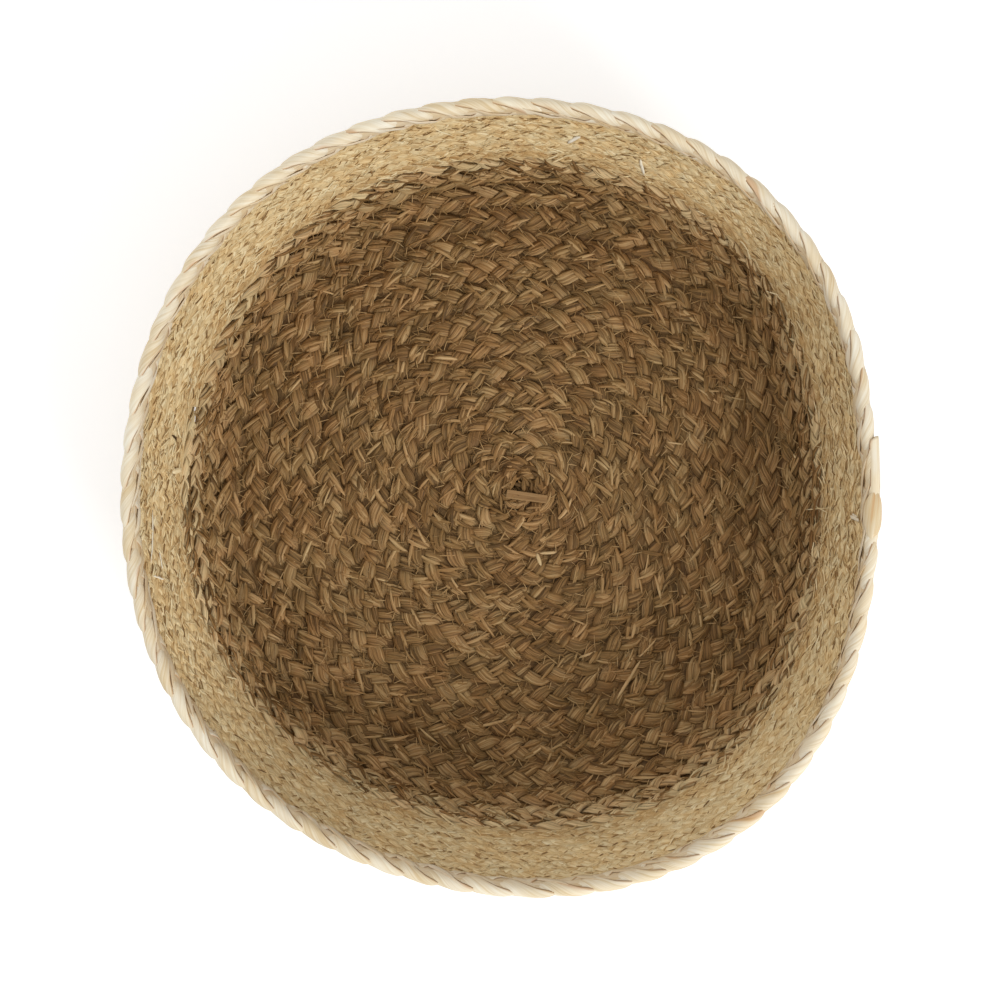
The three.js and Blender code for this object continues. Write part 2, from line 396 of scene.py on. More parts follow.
class Course:
    """Route of a plait over the skin, measured along its middle.

    Attributes:
        MARKS_PER_TURN: Points at which one turn is measured.
    """

    MARKS_PER_TURN = 180

    def __init__(
        self,
        skin: BasketSkin,
        edges: Callable[[np.ndarray], tuple[np.ndarray, np.ndarray]],
        angle: Callable[[np.ndarray], np.ndarray],
        turns: float,
        width: float,
    ) -> None:
        """Measure the route.

        Args:
            skin: The basket's middle surface.
            edges: Low and high edge of the plait along the section, from its turns.
            angle: Angle round the axis, from its turns.
            turns: Turns of the route.
            width: Full width of the plait, to which its strands are scaled.
        """
        self.skin = skin
        self.edges = edges
        self.angle = angle
        self.width = width
        self.turns = np.linspace(0.0, turns, int(turns * self.MARKS_PER_TURN) + 2)
        low, high = edges(self.turns)
        middle = skin.place((low + high) / 2, np.zeros_like(low), angle(self.turns))
        self.marks = measured(np.linalg.norm(np.diff(middle, axis=0), axis=1))
        self.length = float(self.marks[-1])

    def section_place(self, along: np.ndarray, across: np.ndarray) -> tuple[np.ndarray, np.ndarray]:
        """Distance along the section and angle of points of the plait.

        Args:
            along: Distance along the route.
            across: Distance from its middle, outwards or upwards along the section.

        Returns:
            Distance along the section, and angle.
        """
        turns = np.interp(along, self.marks, self.turns)
        low, high = self.edges(turns)
        return (low + high) / 2 + across * (high - low) / self.width, self.angle(turns)

    def place(self, along: np.ndarray, across: np.ndarray, through: np.ndarray) -> np.ndarray:
        """Points of the plait in the frame.

        Args:
            along: Distance along the route.
            across: Distance from its middle, outwards or upwards along the section.
            through: Distance inwards from the middle surface.

        Returns:
            Array of points, one more dimension than the arguments.
        """
        s, angle = self.section_place(along, across)
        return self.skin.place(s, through, angle)


def unit(vectors: np.ndarray) -> np.ndarray:
    """Vectors of length one along the last axis."""
    return vectors / np.linalg.norm(vectors, axis=-1, keepdims=True)


class Heap:
    """Closed swept bodies gathered into the mesh of one piece."""

    def __init__(self) -> None:
        """Start empty."""
        self.points: list[np.ndarray] = []
        self.loops: list[np.ndarray] = []
        self.sizes: list[np.ndarray] = []
        self.uvs: list[np.ndarray] = []
        self.tones: list[np.ndarray] = []
        self.shades_and_stains: list[np.ndarray] = []
        self.total = 0

    def sweep(self, rings: np.ndarray, uv: np.ndarray, tone: np.ndarray, shade_and_stain: np.ndarray) -> None:
        """Add bodies, each a row of rings with a cap at both ends.

        Args:
            rings: Points, shaped (bodies, rings, corners, 3).
            uv: Texture coordinates, shaped (bodies, rings, corners + 1, 2); the last closes a ring.
            tone: Lightness of the fibre at each point, shaped (bodies, rings, corners).
            shade_and_stain: 1 in a hollow or at an edge, 0 on a crest, shaped like tone; painted shade on
                the plaits, real stain on the husk.
        """
        bodies, count, corners, _ = rings.shape
        rings, uv, tone, shade_and_stain = (np.array(values, dtype=float) for values in (rings, uv, tone, shade_and_stain))
        inside_out = self.volumes(rings) < 0
        turned = -np.arange(corners) % corners
        rings[inside_out] = rings[inside_out][:, :, turned]
        tone[inside_out] = tone[inside_out][:, :, turned]
        shade_and_stain[inside_out] = shade_and_stain[inside_out][:, :, turned]
        uv[inside_out] = uv[inside_out][:, :, ::-1]
        k = np.arange(corners)
        base = self.total + np.arange(bodies)[:, None, None] * count * corners
        first = base + np.arange(count - 1)[:, None] * corners + k
        after = base + np.arange(count - 1)[:, None] * corners + (k + 1) % corners
        quads = np.stack([first, after, after + corners, first + corners], axis=-1)
        quad_uv = np.stack([uv[:, :-1, :-1], uv[:, :-1, 1:], uv[:, 1:, 1:], uv[:, 1:, :-1]], axis=3)
        start_cap = base[:, 0] + k[::-1]
        end_cap = base[:, 0] + (count - 1) * corners + k
        self.points.append(rings.reshape(-1, 3))
        self.loops += [quads.ravel(), start_cap.ravel(), end_cap.ravel()]
        self.sizes += [np.full(quads.size // 4, 4), np.full(2 * bodies, corners)]
        self.uvs += [quad_uv.reshape(-1, 2), uv[:, 0, k[::-1]].reshape(-1, 2), uv[:, -1, k].reshape(-1, 2)]
        self.tones.append(tone.ravel())
        self.shades_and_stains.append(shade_and_stain.ravel())
        self.total += rings.size // 3

    def sweep_one(self, rings: np.ndarray, uv: np.ndarray, tone: np.ndarray, shade_and_stain: np.ndarray) -> None:
        """Add one body, told by the same arrays without their first axis."""
        self.sweep(rings[None], uv[None], tone[None], shade_and_stain[None])

    @staticmethod
    def volumes(rings: np.ndarray) -> np.ndarray:
        """Volume inside each body's side faces.

        Args:
            rings: Points, shaped (bodies, rings, corners, 3).

        Returns:
            One volume for each body, negative where its faces turn inwards.
        """
        centre = rings.mean(axis=(1, 2), keepdims=True)
        a = (rings - centre)[:, :-1]
        d = (rings - centre)[:, 1:]
        b = np.roll(rings - centre, -1, axis=2)[:, :-1]
        c = np.roll(rings - centre, -1, axis=2)[:, 1:]
        return np.sum(a * (np.cross(b, c) + np.cross(c, d)), axis=(1, 2, 3)) / 6

    def build(self, name: str) -> bpy.types.Object:
        """Make the mesh object.

        Args:
            name: Name of the piece.

        Returns:
            The new object, linked to the scene.
        """
        loops = np.concatenate(self.loops)
        sizes = np.concatenate(self.sizes)
        mesh = bpy.data.meshes.new(name)
        mesh.vertices.add(self.total)
        mesh.vertices.foreach_set("co", np.concatenate(self.points).astype(np.float32).ravel())
        mesh.loops.add(len(loops))
        mesh.loops.foreach_set("vertex_index", loops.astype(np.int32))
        mesh.polygons.add(len(sizes))
        starts = np.concatenate([[0], np.cumsum(sizes)[:-1]])
        mesh.polygons.foreach_set("loop_start", starts.astype(np.int32))
        mesh.update(calc_edges=True)
        layer = mesh.uv_layers.new(name=FIBRE_MAP)
        layer.data.foreach_set("uv", np.concatenate(self.uvs).astype(np.float32).ravel())
        for label, values in (("tone", self.tones), ("shade_and_stain", self.shades_and_stains)):
            attribute = mesh.attributes.new(label, "FLOAT", "POINT")
            attribute.data.foreach_set("value", np.concatenate(values).astype(np.float32))
        mesh.polygons.foreach_set("use_smooth", np.ones(len(sizes), dtype=bool))
        piece = bpy.data.objects.new(name, mesh)
        bpy.context.scene.collection.objects.link(piece)
        return piece


class Finish(Enum):
    """Finish of a piece; the value is the name of its material."""

    BROWN = "brown_fibre"
    PALE = "pale_fibre"
    HUSK = "husk"
    THREAD = "thread"
    STRIP = "strip"


@dataclass(frozen=True)
class PlaitStyle:
    """Shape of one strand of a flat plait and of the way it weaves.

    Attributes:
        period: Length of a whole weave of one strand.
        sway: Reach of the strand's middle to each side.
        corner: How sharply the strand turns at the plait's edge, below 1.
        rise: Reach of the strand's middle inwards and outwards.
        width: Width of the strand at the middle of an arm.
        thickness: Thickness of the strand there.
        waist: Width between two arms as a share of that width.
        roll: How far an arm tips, in radians.
        tilt: How much a row rises towards its outer edge.
        top_corners: Points across the side seen from inside the basket.
        under_corners: Points across the other side.
        creases: Deep folds along the strand.
        crease_depth: Depth of such a fold.
        pleat: Depth of the fine folds between fibres.
        steps: Rings in one period.
    """

    period: float
    sway: float
    corner: float
    rise: float
    width: float
    thickness: float
    waist: float
    roll: float
    tilt: float
    top_corners: int
    under_corners: int
    creases: int
    crease_depth: float
    pleat: float
    steps: int


class PlaitedStrand:
    """One strand of a three-strand flat plait: fibres that swell over each arm and meet between.

    Attributes:
        HEADING: 1 or -1, which way round the strands pass over each other.
        ARM_PHASE: Phase of the weave in the middle of an arm.
        CREASE_WIDTH: Width of a crease, as a share of half the strand's.
        PACE: How far the weave runs ahead or behind, as a phase.
        PACE_SPACING, WANDER_SPACING, SWELL_SPACING, SHADE_SPACING, CREASE_SPACING: Spacing of the
            changes in pace, place, shape, tone and place of the creases, in weaves.
        PLEAT_SPACINGS: Least and greatest spacing of the changes of a pleat, in weaves.
        STREAK_SPACINGS: Least and greatest spacing of the changes of a streak, in weaves.
        WANDER: How far the strand wanders aside, as a share of its width.
        LIFT: How far it wanders in and out, as a share of its thickness.
        TIP: How far an arm tips by chance, in radians.
        UNEVEN: How much width and thickness vary, as a share.
        THIN: Thickness between two arms, as a share of that over an arm.
        TAPERS: Length over which its start and its end taper, in widths.
        BLUNT: Size of its tips, as a share of the full one.
        FLAT_CROWN: Powers that make the section's crown flatter than an oval.
        TEXTURE_STEP: How far the texture is shifted along and across from strand to strand.
        SHADE: How strongly the tone changes along the strand.
        STREAK: How strongly it changes across the strand.
    """

    HEADING = -1
    ARM_PHASE = 0.78 * math.pi
    CREASE_WIDTH = 0.08
    PACE = 0.75
    PACE_SPACING = 1.3
    WANDER_SPACING = 1.9
    SWELL_SPACING = 0.45
    SHADE_SPACING = 0.5
    CREASE_SPACING = 0.4
    PLEAT_SPACINGS = (0.2, 0.36)
    STREAK_SPACINGS = (0.4, 0.9)
    WANDER = 0.09
    LIFT = 0.16
    TIP = 0.15
    UNEVEN = 0.2
    THIN = 0.6
    TAPERS = (0.5, 1.2)
    BLUNT = 0.25
    FLAT_CROWN = (2.6, 0.6)
    TEXTURE_STEP = (0.37, 0.13)
    SHADE = 0.7
    STREAK = 0.85

    def __init__(self, course: Course, style: PlaitStyle, index: int, seed: int) -> None:
        """Draw the strand's own irregularities.

        Args:
            course: Route of the plait.
            style: Shape of the strand and of its weave.
            index: Which of the three strands this is, from 0.
            seed: Seed of the plait.
        """
        self.course = course
        self.style = style
        self.index = index
        shared = np.random.default_rng(seed)
        own = np.random.default_rng(seed * 10 + index + 1)
        length, period = course.length, style.period
        self.pace = Drift(shared, length, period * self.PACE_SPACING)
        self.wander = Drift(shared, length, period * self.WANDER_SPACING)
        self.swell, self.bulk, self.lift, self.tip = (
            Drift(own, length, period * self.SWELL_SPACING) for _ in range(4)
        )
        self.shade = Drift(own, length, period * self.SHADE_SPACING)
        self.across, self.facing = outline(style.top_corners, style.under_corners)
        self.pleats = self.fine_drifts(own, self.PLEAT_SPACINGS)
        self.streaks = self.fine_drifts(own, self.STREAK_SPACINGS)
        self.creases = [Drift(own, length, period * self.CREASE_SPACING) for _ in range(style.creases)]

    def fine_drifts(self, rng: np.random.Generator, spacings: tuple[float, float]) -> list[Drift]:
        """One drift for each corner of the section, each with a spacing of its own, in weaves."""
        length, period = self.course.length, self.style.period
        return [Drift(rng, length, period * rng.uniform(*spacings)) for _ in self.across]

    def phase(self, along: np.ndarray) -> np.ndarray:
        """Phase of the weave at these lengths."""
        return 2 * np.pi * (along / self.style.period + self.index / 3) + self.PACE * self.pace.at(along)

    def arms(self) -> np.ndarray:
        """Where the strand's arms lie.

        Returns:
            Distances of their middles along the route, without those at its two ends.
        """
        period = self.style.period
        count = int(2 * self.course.length / period)
        turned = np.arange(1, count - 1) / 2 + self.ARM_PHASE / (2 * np.pi) - self.index / 3
        along = turned * period
        along = along - self.PACE * self.pace.at(along) * period / (2 * np.pi)
        return along[(along > 0.3 * period) & (along < self.course.length - period)]

    def middle(self, along: np.ndarray) -> np.ndarray:
        """Middle of the strand in the plait's own space.

        Args:
            along: Distances along the route.

        Returns:
            Places along, across and through the plait.
        """
        style = self.style
        phase = self.phase(along)
        across = style.sway * np.arcsin(style.corner * np.sin(phase)) / math.asin(style.corner)
        across = across + self.WANDER * style.width * self.wander.at(along)
        through = self.HEADING * style.rise * np.sin(2 * phase) + style.tilt * across
        through = through + self.LIFT * style.thickness * self.lift.at(along)
        return np.stack([along, across, through], axis=-1)

    def axes(self, along: np.ndarray) -> tuple[np.ndarray, np.ndarray, np.ndarray]:
        """Middle and directions of the strand.

        Args:
            along: Distances along the route.

        Returns:
            Its middle, the direction across it and the direction out of its face.
        """
        style = self.style
        reach = style.period * 1e-3
        run = unit(self.middle(along + reach) - self.middle(along - reach))
        roll = -self.HEADING * style.roll * np.cos(3 * self.phase(along)) + self.TIP * self.tip.at(along)
        face = np.stack([np.zeros_like(roll), np.sin(roll), np.cos(roll)], axis=-1)
        side = unit(np.cross(run, face))
        return self.middle(along), side, np.cross(side, run)

    def folds(self, along: np.ndarray, pleats: np.ndarray) -> np.ndarray:
        """Deep folds, from 0 to 1, at each ring and corner.

        Args:
            along: Distances along the route.
            pleats: Fine folds at each ring and corner.

        Returns:
            Array shaped like the pleats.
        """
        folds = np.zeros_like(pleats)
        count = len(self.creases)
        for order, drift in enumerate(self.creases):
            spot = (2 * order + 1) / count - 1 + 0.9 / count * drift.at(along)
            near = np.exp(-(((self.across - spot[:, None]) / self.CREASE_WIDTH) ** 2))
            folds += near * np.clip(0.55 + 0.8 * pleats[:, order, None], 0.0, 1.0)
        return np.minimum(folds, 1.0) * (self.facing > 0)

    def halves(self, along: np.ndarray) -> tuple[np.ndarray, np.ndarray]:
        """Half the width and half the thickness, full over an arm and less between and at the ends.

        Args:
            along: Distances along the route.

        Returns:
            Both at each distance.
        """
        style = self.style
        arm = np.cos(self.phase(along) - self.ARM_PHASE) ** 2
        at_start, at_end = (taper * style.width for taper in self.TAPERS)
        from_end = (self.course.length - along) / at_end
        ends = np.clip(np.minimum((along + 0.3 * MM) / at_start, from_end), self.BLUNT, 1)
        half_width = style.width / 2 * (style.waist + (1 - style.waist) * arm)
        half_width = half_width * (1 + self.UNEVEN * self.swell.at(along)) * ends
        half_thick = style.thickness / 2 * (self.THIN + (1 - self.THIN) * arm)
        return half_width, half_thick * (1 + self.UNEVEN * self.bulk.at(along)) * ends

    def fill(
        self, heap: Heap, start: float, end: float, lightening: Callable[[np.ndarray], np.ndarray]
    ) -> None:
        """Lay one stretch of the strand.

        Args:
            heap: Mesh that takes it.
            start: Start of the stretch along the route.
            end: End of the stretch.
            lightening: Tone to add at these distances along the section.
        """
        style = self.style
        along = np.linspace(start, end, int((end - start) / style.period * style.steps) + 2)
        middle, side, face = self.axes(along)
        half_width, half_thick = self.halves(along)
        power, root = self.FLAT_CROWN
        crown = np.maximum(1 - np.abs(self.across) ** power, 0.0) ** root
        pleats = np.stack([drift.at(along) for drift in self.pleats], axis=1)
        folds = self.folds(along, pleats)
        relief = (style.pleat * pleats - style.crease_depth * folds) * np.minimum(1.6 * crown, 1.0)
        out = self.facing * (half_thick[:, None] * crown + relief)
        reach = self.across * half_width[:, None]
        local = middle[:, None] + reach[..., None] * side[:, None] + out[..., None] * face[:, None]
        points = press_down(self.course.place(local[..., 0], local[..., 1], local[..., 2]))
        streaks = np.stack([drift.at(along) for drift in self.streaks], axis=1)
        s, _ = self.course.section_place(along, np.zeros_like(along))
        base_tone = self.SHADE * self.shade.at(along) + lightening(s)
        tone = base_tone[:, None] + self.STREAK * streaks
        # Painted shade: the strand is coloured darker in its deep folds, in the hollows of its pleats and
        # at the edges where it falls away.
        edge = np.clip((0.5 - crown) / 0.5, 0.0, 1.0)
        shade_and_stain = np.clip(1.1 * folds + 0.9 * np.maximum(-pleats - 0.2, 0.0) + edge, 0.0, 1.0)
        around = np.where(self.facing > 0, self.across, 2 - self.across) * style.width / 2
        around = np.append(around, 1.5 * style.width)
        on, aside = self.TEXTURE_STEP
        uv = fibre_map(along + on * self.index, around + aside * self.index)
        heap.sweep_one(points, uv, tone, shade_and_stain)


def press_down(points: np.ndarray) -> np.ndarray:
    """Points with what would sink into the floor pressed flat just over it.

    Args:
        points: Points in the frame, which are changed.

    Returns:
        The same array.
    """
    z = points[..., 2]
    give = PRESSED - FLOOR_GAP
    flat = FLOOR_GAP + give * np.exp(np.minimum(z - PRESSED, 0.0) / give)
    points[..., 2] = np.where(z < PRESSED, flat, z)
    return points


def node(
    tree: bpy.types.NodeTree, kind: str, inputs: dict[str, Setting] | None = None, **settings: str
) -> bpy.types.Node:
    """Add a node to a tree.

    Args:
        tree: Node tree.
        kind: Kind of the node.
        inputs: What goes into its inputs: sockets to link from, or values.
        settings: Its other settings.

    Returns:
        The new node.
    """
    made = tree.nodes.new(f"ShaderNode{kind}")
    for label, value in settings.items():
        setattr(made, label, value)
    feed(tree, made, inputs or {})
    return made


def feed(tree: bpy.types.NodeTree, made: bpy.types.Node, inputs: dict[str | int, Setting]) -> None:
    """Link sockets to a node's inputs, or set their values.

    Args:
        tree: Node tree.
        made: The node.
        inputs: Socket or value for each input.
    """
    for label, value in inputs.items():
        if isinstance(value, bpy.types.NodeSocket):
            tree.links.new(value, made.inputs[label])
        else:
            made.inputs[label].default_value = value


def math_node(tree: bpy.types.NodeTree, operation: str, *values: Setting) -> bpy.types.NodeSocket:
    """Add a math node.

    Args:
        tree: Node tree.
        operation: Name of the operation.
        values: Sockets or numbers that go in.

    Returns:
        The result's socket.
    """
    made = node(tree, "Math", operation=operation)
    feed(tree, made, dict(enumerate(values)))
    return made.outputs["Value"]


@dataclass(frozen=True)
class Fibre:
    """Finish of dry plant fibre: streaks along the strip, uneven strips, and darker edges: painted shade on
    the plaits, real stain on the husk.

    Attributes:
        name: Name of the material.
        deep: Colour of the rare darkest spots.
        dark: Colour of the dark streaks.
        middle: Usual colour.
        light: Colour of the light strips.
        bleached: Colour of the rare lightest strips.
        shade_and_stain: Colour at the edges and in the hollows: painted shade on the plaits, real stain on
            the husk.
        shade_and_stain_share: How strongly that painted shade and stain colour shows.
        streak_width: Width of a streak.
        streak_length: Length of a streak.
        warm: Tint of the warmer patches, as shares of the colour.
        cool: Tint of the cooler patches.
        tone_share: How strongly a strip's own tone shows.
        roughness: Roughness of the surface.
        bump: Height of the fine relief.
        patch: Size of a patch.
        STOPS: Levels of the five colours, from deep to bleached.
        FINE, BROAD: Shares of the fine and the broad streaks.
        BROAD_STRETCH: Repeats of the broad streaks along and across, as shares of the fine ones.
        SHEEN: Strength of the mirrored light.
        RELIEF: Strength of the fine relief.
        SPREAD: Noise levels at which a patch is fully cool and fully warm.
        FINE_DETAIL, BROAD_DETAIL: Detail of the fine streaks and of the broad streaks and patches.
        NOISE_ROUGHNESS: Roughness of the noise.
    """

    name: str
    deep: Shade
    dark: Shade
    middle: Shade
    light: Shade
    bleached: Shade
    shade_and_stain: Shade
    shade_and_stain_share: float
    streak_width: float
    streak_length: float
    warm: Shade = (1.0, 1.0, 1.0)
    cool: Shade = (1.0, 1.0, 1.0)
    tone_share: float = 0.1
    roughness: float = 0.6
    bump: float = 0.1 * MM
    patch: float = 9 * MM

    STOPS = (0.12, 0.36, 0.5, 0.66, 0.95)
    FINE, BROAD = 0.6, 0.4
    BROAD_STRETCH = (0.4, 0.3)
    SHEEN = 0.2
    RELIEF = 0.8
    SPREAD = (0.38, 0.64)
    FINE_DETAIL, BROAD_DETAIL = 3.0, 2.0
    NOISE_ROUGHNESS = 0.6

    def material(self) -> bpy.types.Material:
        """Build the node material.

        Returns:
            The new material.
        """
        material = bpy.data.materials.new(self.name)
        material.use_nodes = True
        tree = material.node_tree
        along, across = self.BROAD_STRETCH
        uv = node(tree, "UVMap", uv_map=FIBRE_MAP).outputs["UV"]
        long, wide = 1 / self.streak_length, 1 / self.streak_width
        fine = self.noise(tree, uv, long, wide, self.FINE_DETAIL)
        broad = self.noise(tree, uv, along * long, across * wide, self.BROAD_DETAIL)
        tone = node(tree, "Attribute", attribute_name="tone").outputs["Fac"]
        shade_and_stain = node(tree, "Attribute", attribute_name="shade_and_stain").outputs["Fac"]
        level = math_node(tree, "MULTIPLY", fine, self.FINE)
        level = math_node(tree, "MULTIPLY_ADD", broad, self.BROAD, level)
        level = math_node(tree, "MULTIPLY_ADD", tone, self.tone_share, level)
        ramp = node(tree, "ValToRGB", {"Fac": level})
        stops = ramp.color_ramp.elements
        stops[0].position, stops[1].position = self.STOPS[0], self.STOPS[-1]
        stops[0].color, stops[1].color = linear(self.deep), linear(self.bleached)
        for position, colour in zip(self.STOPS[1:-1], (self.dark, self.middle, self.light)):
            stops.new(position).color = linear(colour)
        # Painted shade in the plaits' hollows and at their edges, and real stain at the husk's edges, mixed
        # over the ramp's colour.
        shade = math_node(tree, "MULTIPLY", shade_and_stain, self.shade_and_stain_share)
        mixed = {"Factor": shade, "A": ramp.outputs["Color"], "B": linear(self.shade_and_stain)}
        mix = node(tree, "Mix", mixed, data_type="RGBA")
        colour = self.tinted(tree, mix.outputs["Result"])
        relief = node(tree, "Bump", {"Distance": self.bump, "Strength": self.RELIEF, "Height": fine})
        feed(tree, tree.nodes["Principled BSDF"], {
            "Roughness": self.roughness,
            "Specular IOR Level": self.SHEEN,
            "Base Color": colour,
            "Normal": relief.outputs["Normal"],
        })
        return material

    def tinted(self, tree: bpy.types.NodeTree, colour: bpy.types.NodeSocket) -> bpy.types.NodeSocket:
        """Colour with warmer and cooler patches from leaf to leaf.

        Args:
            tree: Node tree of the material.
            colour: Colour before the patches.

        Returns:
            The tinted colour's socket.
        """
        place = node(tree, "TexCoord").outputs["Object"]
        patches = self.noise(tree, place, 1 / self.patch, 1 / self.patch, self.BROAD_DETAIL)
        coolest, warmest = self.SPREAD
        spread = node(tree, "MapRange", {"From Min": coolest, "From Max": warmest, "Value": patches})
        tints = {"A": (*self.cool, 1.0), "B": (*self.warm, 1.0), "Factor": spread.outputs["Result"]}
        tint = node(tree, "Mix", tints, data_type="RGBA")
        both = {"Factor": 1.0, "A": colour, "B": tint.outputs["Result"]}
        return node(tree, "Mix", both, data_type="RGBA", blend_type="MULTIPLY").outputs["Result"]

    def noise(
        self,
        tree: bpy.types.NodeTree,
        place: bpy.types.NodeSocket,
        along: float,
        across: float,
        detail: float,
    ) -> bpy.types.NodeSocket:
        """Noise stretched along the strip.

        Args:
            tree: Node tree of the material.
            place: Texture coordinates, in metres along and across the strip.
            along: Repeats per metre along the strip.
            across: Repeats per metre across the strip.
            detail: Detail of the noise.

        Returns:
            The noise value's socket.
        """
        mapping = node(tree, "Mapping", {"Scale": (along, across, across), "Vector": place})
        look = {"Scale": 1.0, "Detail": detail, "Roughness": self.NOISE_ROUGHNESS}
        return node(tree, "TexNoise", {**look, "Vector": mapping.outputs["Vector"]}).outputs["Fac"]


def linear(colour: Shade) -> tuple[float, float, float, float]:
    """Scene-linear colour from one written as it looks on a screen, from 0 to 255."""
    parts = [c / 255 for c in colour]
    return (*[p / 12.92 if p <= 0.04045 else ((p + 0.055) / 1.055) ** 2.4 for p in parts], 1.0)


BROWN_FIBRE = Fibre(
    name="brown_fibre",
    deep=(68, 47, 24),
    dark=(97, 71, 39),
    middle=(145, 110, 66),
    light=(184, 151, 106),
    bleached=(224, 199, 154),
    # Painted shade colour for the hollows and edges of the brown strands and joint fibres.
    shade_and_stain=(64, 43, 21),
    shade_and_stain_share=0.62,
    tone_share=0.125,
    streak_width=0.2 * MM,
    streak_length=9 * MM,
    bump=0.12 * MM,
    warm=(1.04, 0.975, 0.92),
    cool=(0.97, 1.0, 0.98),
)
PALE_FIBRE = Fibre(
    name="pale_fibre",
    deep=(150, 112, 64),
    dark=(193, 164, 117),
    middle=(224, 203, 158),
    light=(241, 226, 188),
    bleached=(252, 242, 216),
    # Painted shade colour for the hollows and edges of the pale strands and joint fibres.
    shade_and_stain=(172, 130, 78),
    shade_and_stain_share=0.45,
    roughness=0.55,
    streak_width=0.25 * MM,
    streak_length=5 * MM,
    bump=0.06 * MM,
    warm=(1.0, 0.93, 0.83),
    cool=(1.0, 1.01, 1.02),
    patch=7 * MM,
)
HUSK = Fibre(
    name="husk",
    deep=(202, 148, 94),
    dark=(217, 198, 162),
    middle=(232, 219, 194),
    light=(241, 234, 215),
    bleached=(248, 245, 237),
    # Real orange stain at the edges of the husk's straps and tips.
    shade_and_stain=(190, 132, 68),
    shade_and_stain_share=0.75,
    roughness=0.45,
    streak_width=0.45 * MM,
    streak_length=30 * MM,
    warm=(1.0, 0.955, 0.87),
    patch=14 * MM,
)
STRIP = Fibre(
    name="strip",
    deep=(90, 64, 36),
    dark=(120, 90, 56),
    middle=(143, 111, 72),
    light=(170, 138, 95),
    bleached=(196, 166, 124),
    shade_and_stain=(90, 64, 36),
    shade_and_stain_share=0.5,
    streak_width=0.35 * MM,
    streak_length=12 * MM,
    warm=(1.03, 0.98, 0.94),
)
THREAD = Fibre(
    name="thread",
    deep=(112, 82, 46),
    dark=(134, 102, 60),
    middle=(158, 124, 78),
    light=(184, 150, 102),
    bleached=(206, 174, 126),
    shade_and_stain=(120, 90, 52),
    shade_and_stain_share=0.3,
    tone_share=0.2,
    roughness=0.5,
    streak_width=0.2 * MM,
    streak_length=2 * MM,
    bump=0.03 * MM,
)


def dress(piece: bpy.types.Object, material: bpy.types.Material, finish: Finish, *nodes: str) -> None:
    """Give a piece its material, attach it to the root and hide the nodes of the frame that it stands for.

    Args:
        piece: The new piece.
        material: Its material.
        finish: Its finish, not used.
        nodes: Nodes of the frame that it stands for.
    """
    piece.data.materials.append(material)
    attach(piece, ROOT)
    if nodes:
        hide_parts(*nodes)
    LOG.info("%s: %d faces", piece.name, len(piece.data.polygons))


@dataclass
class FlatPlait:
    """A flat three-strand plait, wound up the section.

    Attributes:
        skin: The basket's middle surface.
        name: First part of its pieces' names.
        finish: Its finish.
        style: Shape of its strands and of their weave.
        own_width: Width over its three strands before they are scaled to the rows.
        seed: Seed of its irregularities.
        fade: Length along the section over which its tone nears the other plait's.
        fade_tone: Tone added at the border between the two.
        end_cut: Length cut off at its end.
        strands: Number of strands.
    """

    skin: BasketSkin
    name: str
    finish: Finish
    style: PlaitStyle
    own_width: float
    seed: int
    fade: float
    fade_tone: float
    end_cut: float = 0.5 * MM
    strands: int = 3

    def __post_init__(self) -> None:
        """Lay out the route."""
        self.course = self.route()
        LOG.info("%s plait: %.2f m", self.name, self.course.length)

    def route(self) -> Course:
        """Route of the plait."""
        raise NotImplementedError

    def spans(self) -> tuple[tuple[str, float, float], ...]:
        """End of the name, start and end of each stretch that a strand is built in."""
        raise NotImplementedError

    def lightening(self, s: np.ndarray) -> np.ndarray:
        """Tone added at these distances along the section."""
        raise NotImplementedError

    def build(self, material: bpy.types.Material) -> tuple[list[PlaitedStrand], list[bpy.types.Object]]:
        """Build the strands.

        Args:
            material: Material of the strands.

        Returns:
            The strands and their pieces.
        """
        strands, pieces = [], []
        for index in range(self.strands):
            strand = PlaitedStrand(self.course, self.style, index, self.seed)
            strands.append(strand)
            for label, start, end in self.spans():
                heap = Heap()
                strand.fill(heap, start, end, self.lightening)
                piece = heap.build(f"{self.name}_strand_{strand.index + 1}{label}")
                dress(piece, material, self.finish, f"{self.name}_braid")
                pieces.append(piece)
        return strands, pieces


@dataclass
class BrownPlait(FlatPlait):
    """The coiled brown plait: base, corner and foot of the wall.

    Attributes:
        overlap: How far the stretches for the base and the wall reach over the route's middle.
        tip_cut: Length cut off at the eye.
        fade_limit: Most that the fade grows to past the border.
    """

    name: str = "brown"
    finish: Finish = Finish.BROWN
    style: PlaitStyle = PlaitStyle(
        period=29 * MM,
        sway=3.1 * MM,
        corner=0.98,
        rise=1.1 * MM,
        width=5.9 * MM,
        thickness=2.3 * MM,
        waist=0.4,
        roll=0.35,
        tilt=0.06,
        top_corners=19,
        under_corners=5,
        creases=3,
        crease_depth=0.34 * MM,
        pleat=0.15 * MM,
        steps=16,
    )
    own_width: float = 8.6 * MM
    seed: int = 11
    fade: float = 30 * MM
    fade_tone: float = 3.0
    overlap: float = 0.5 * MM
    tip_cut: float = 0.3 * MM
    fade_limit: float = 1.2

    def route(self) -> Course:
        """Route from the eye to the foot of the wall."""
        winding = self.skin.winding
        return Course(self.skin, winding.brown_edges, winding.angle, winding.brown_turns, self.own_width)

    def spans(self) -> tuple[tuple[str, float, float], ...]:
        """One stretch for the base and one for the wall."""
        half, end = self.course.length / 2, self.course.length - self.end_cut
        return ("_base", self.tip_cut, half + self.overlap), ("_wall", half - self.overlap, end)

    def lightening(self, s: np.ndarray) -> np.ndarray:
        """Tone added towards the pale wall."""
        part = np.clip(1 + (s - self.skin.winding.brown_last) / self.fade, 0, self.fade_limit)
        return self.fade_tone * part * part


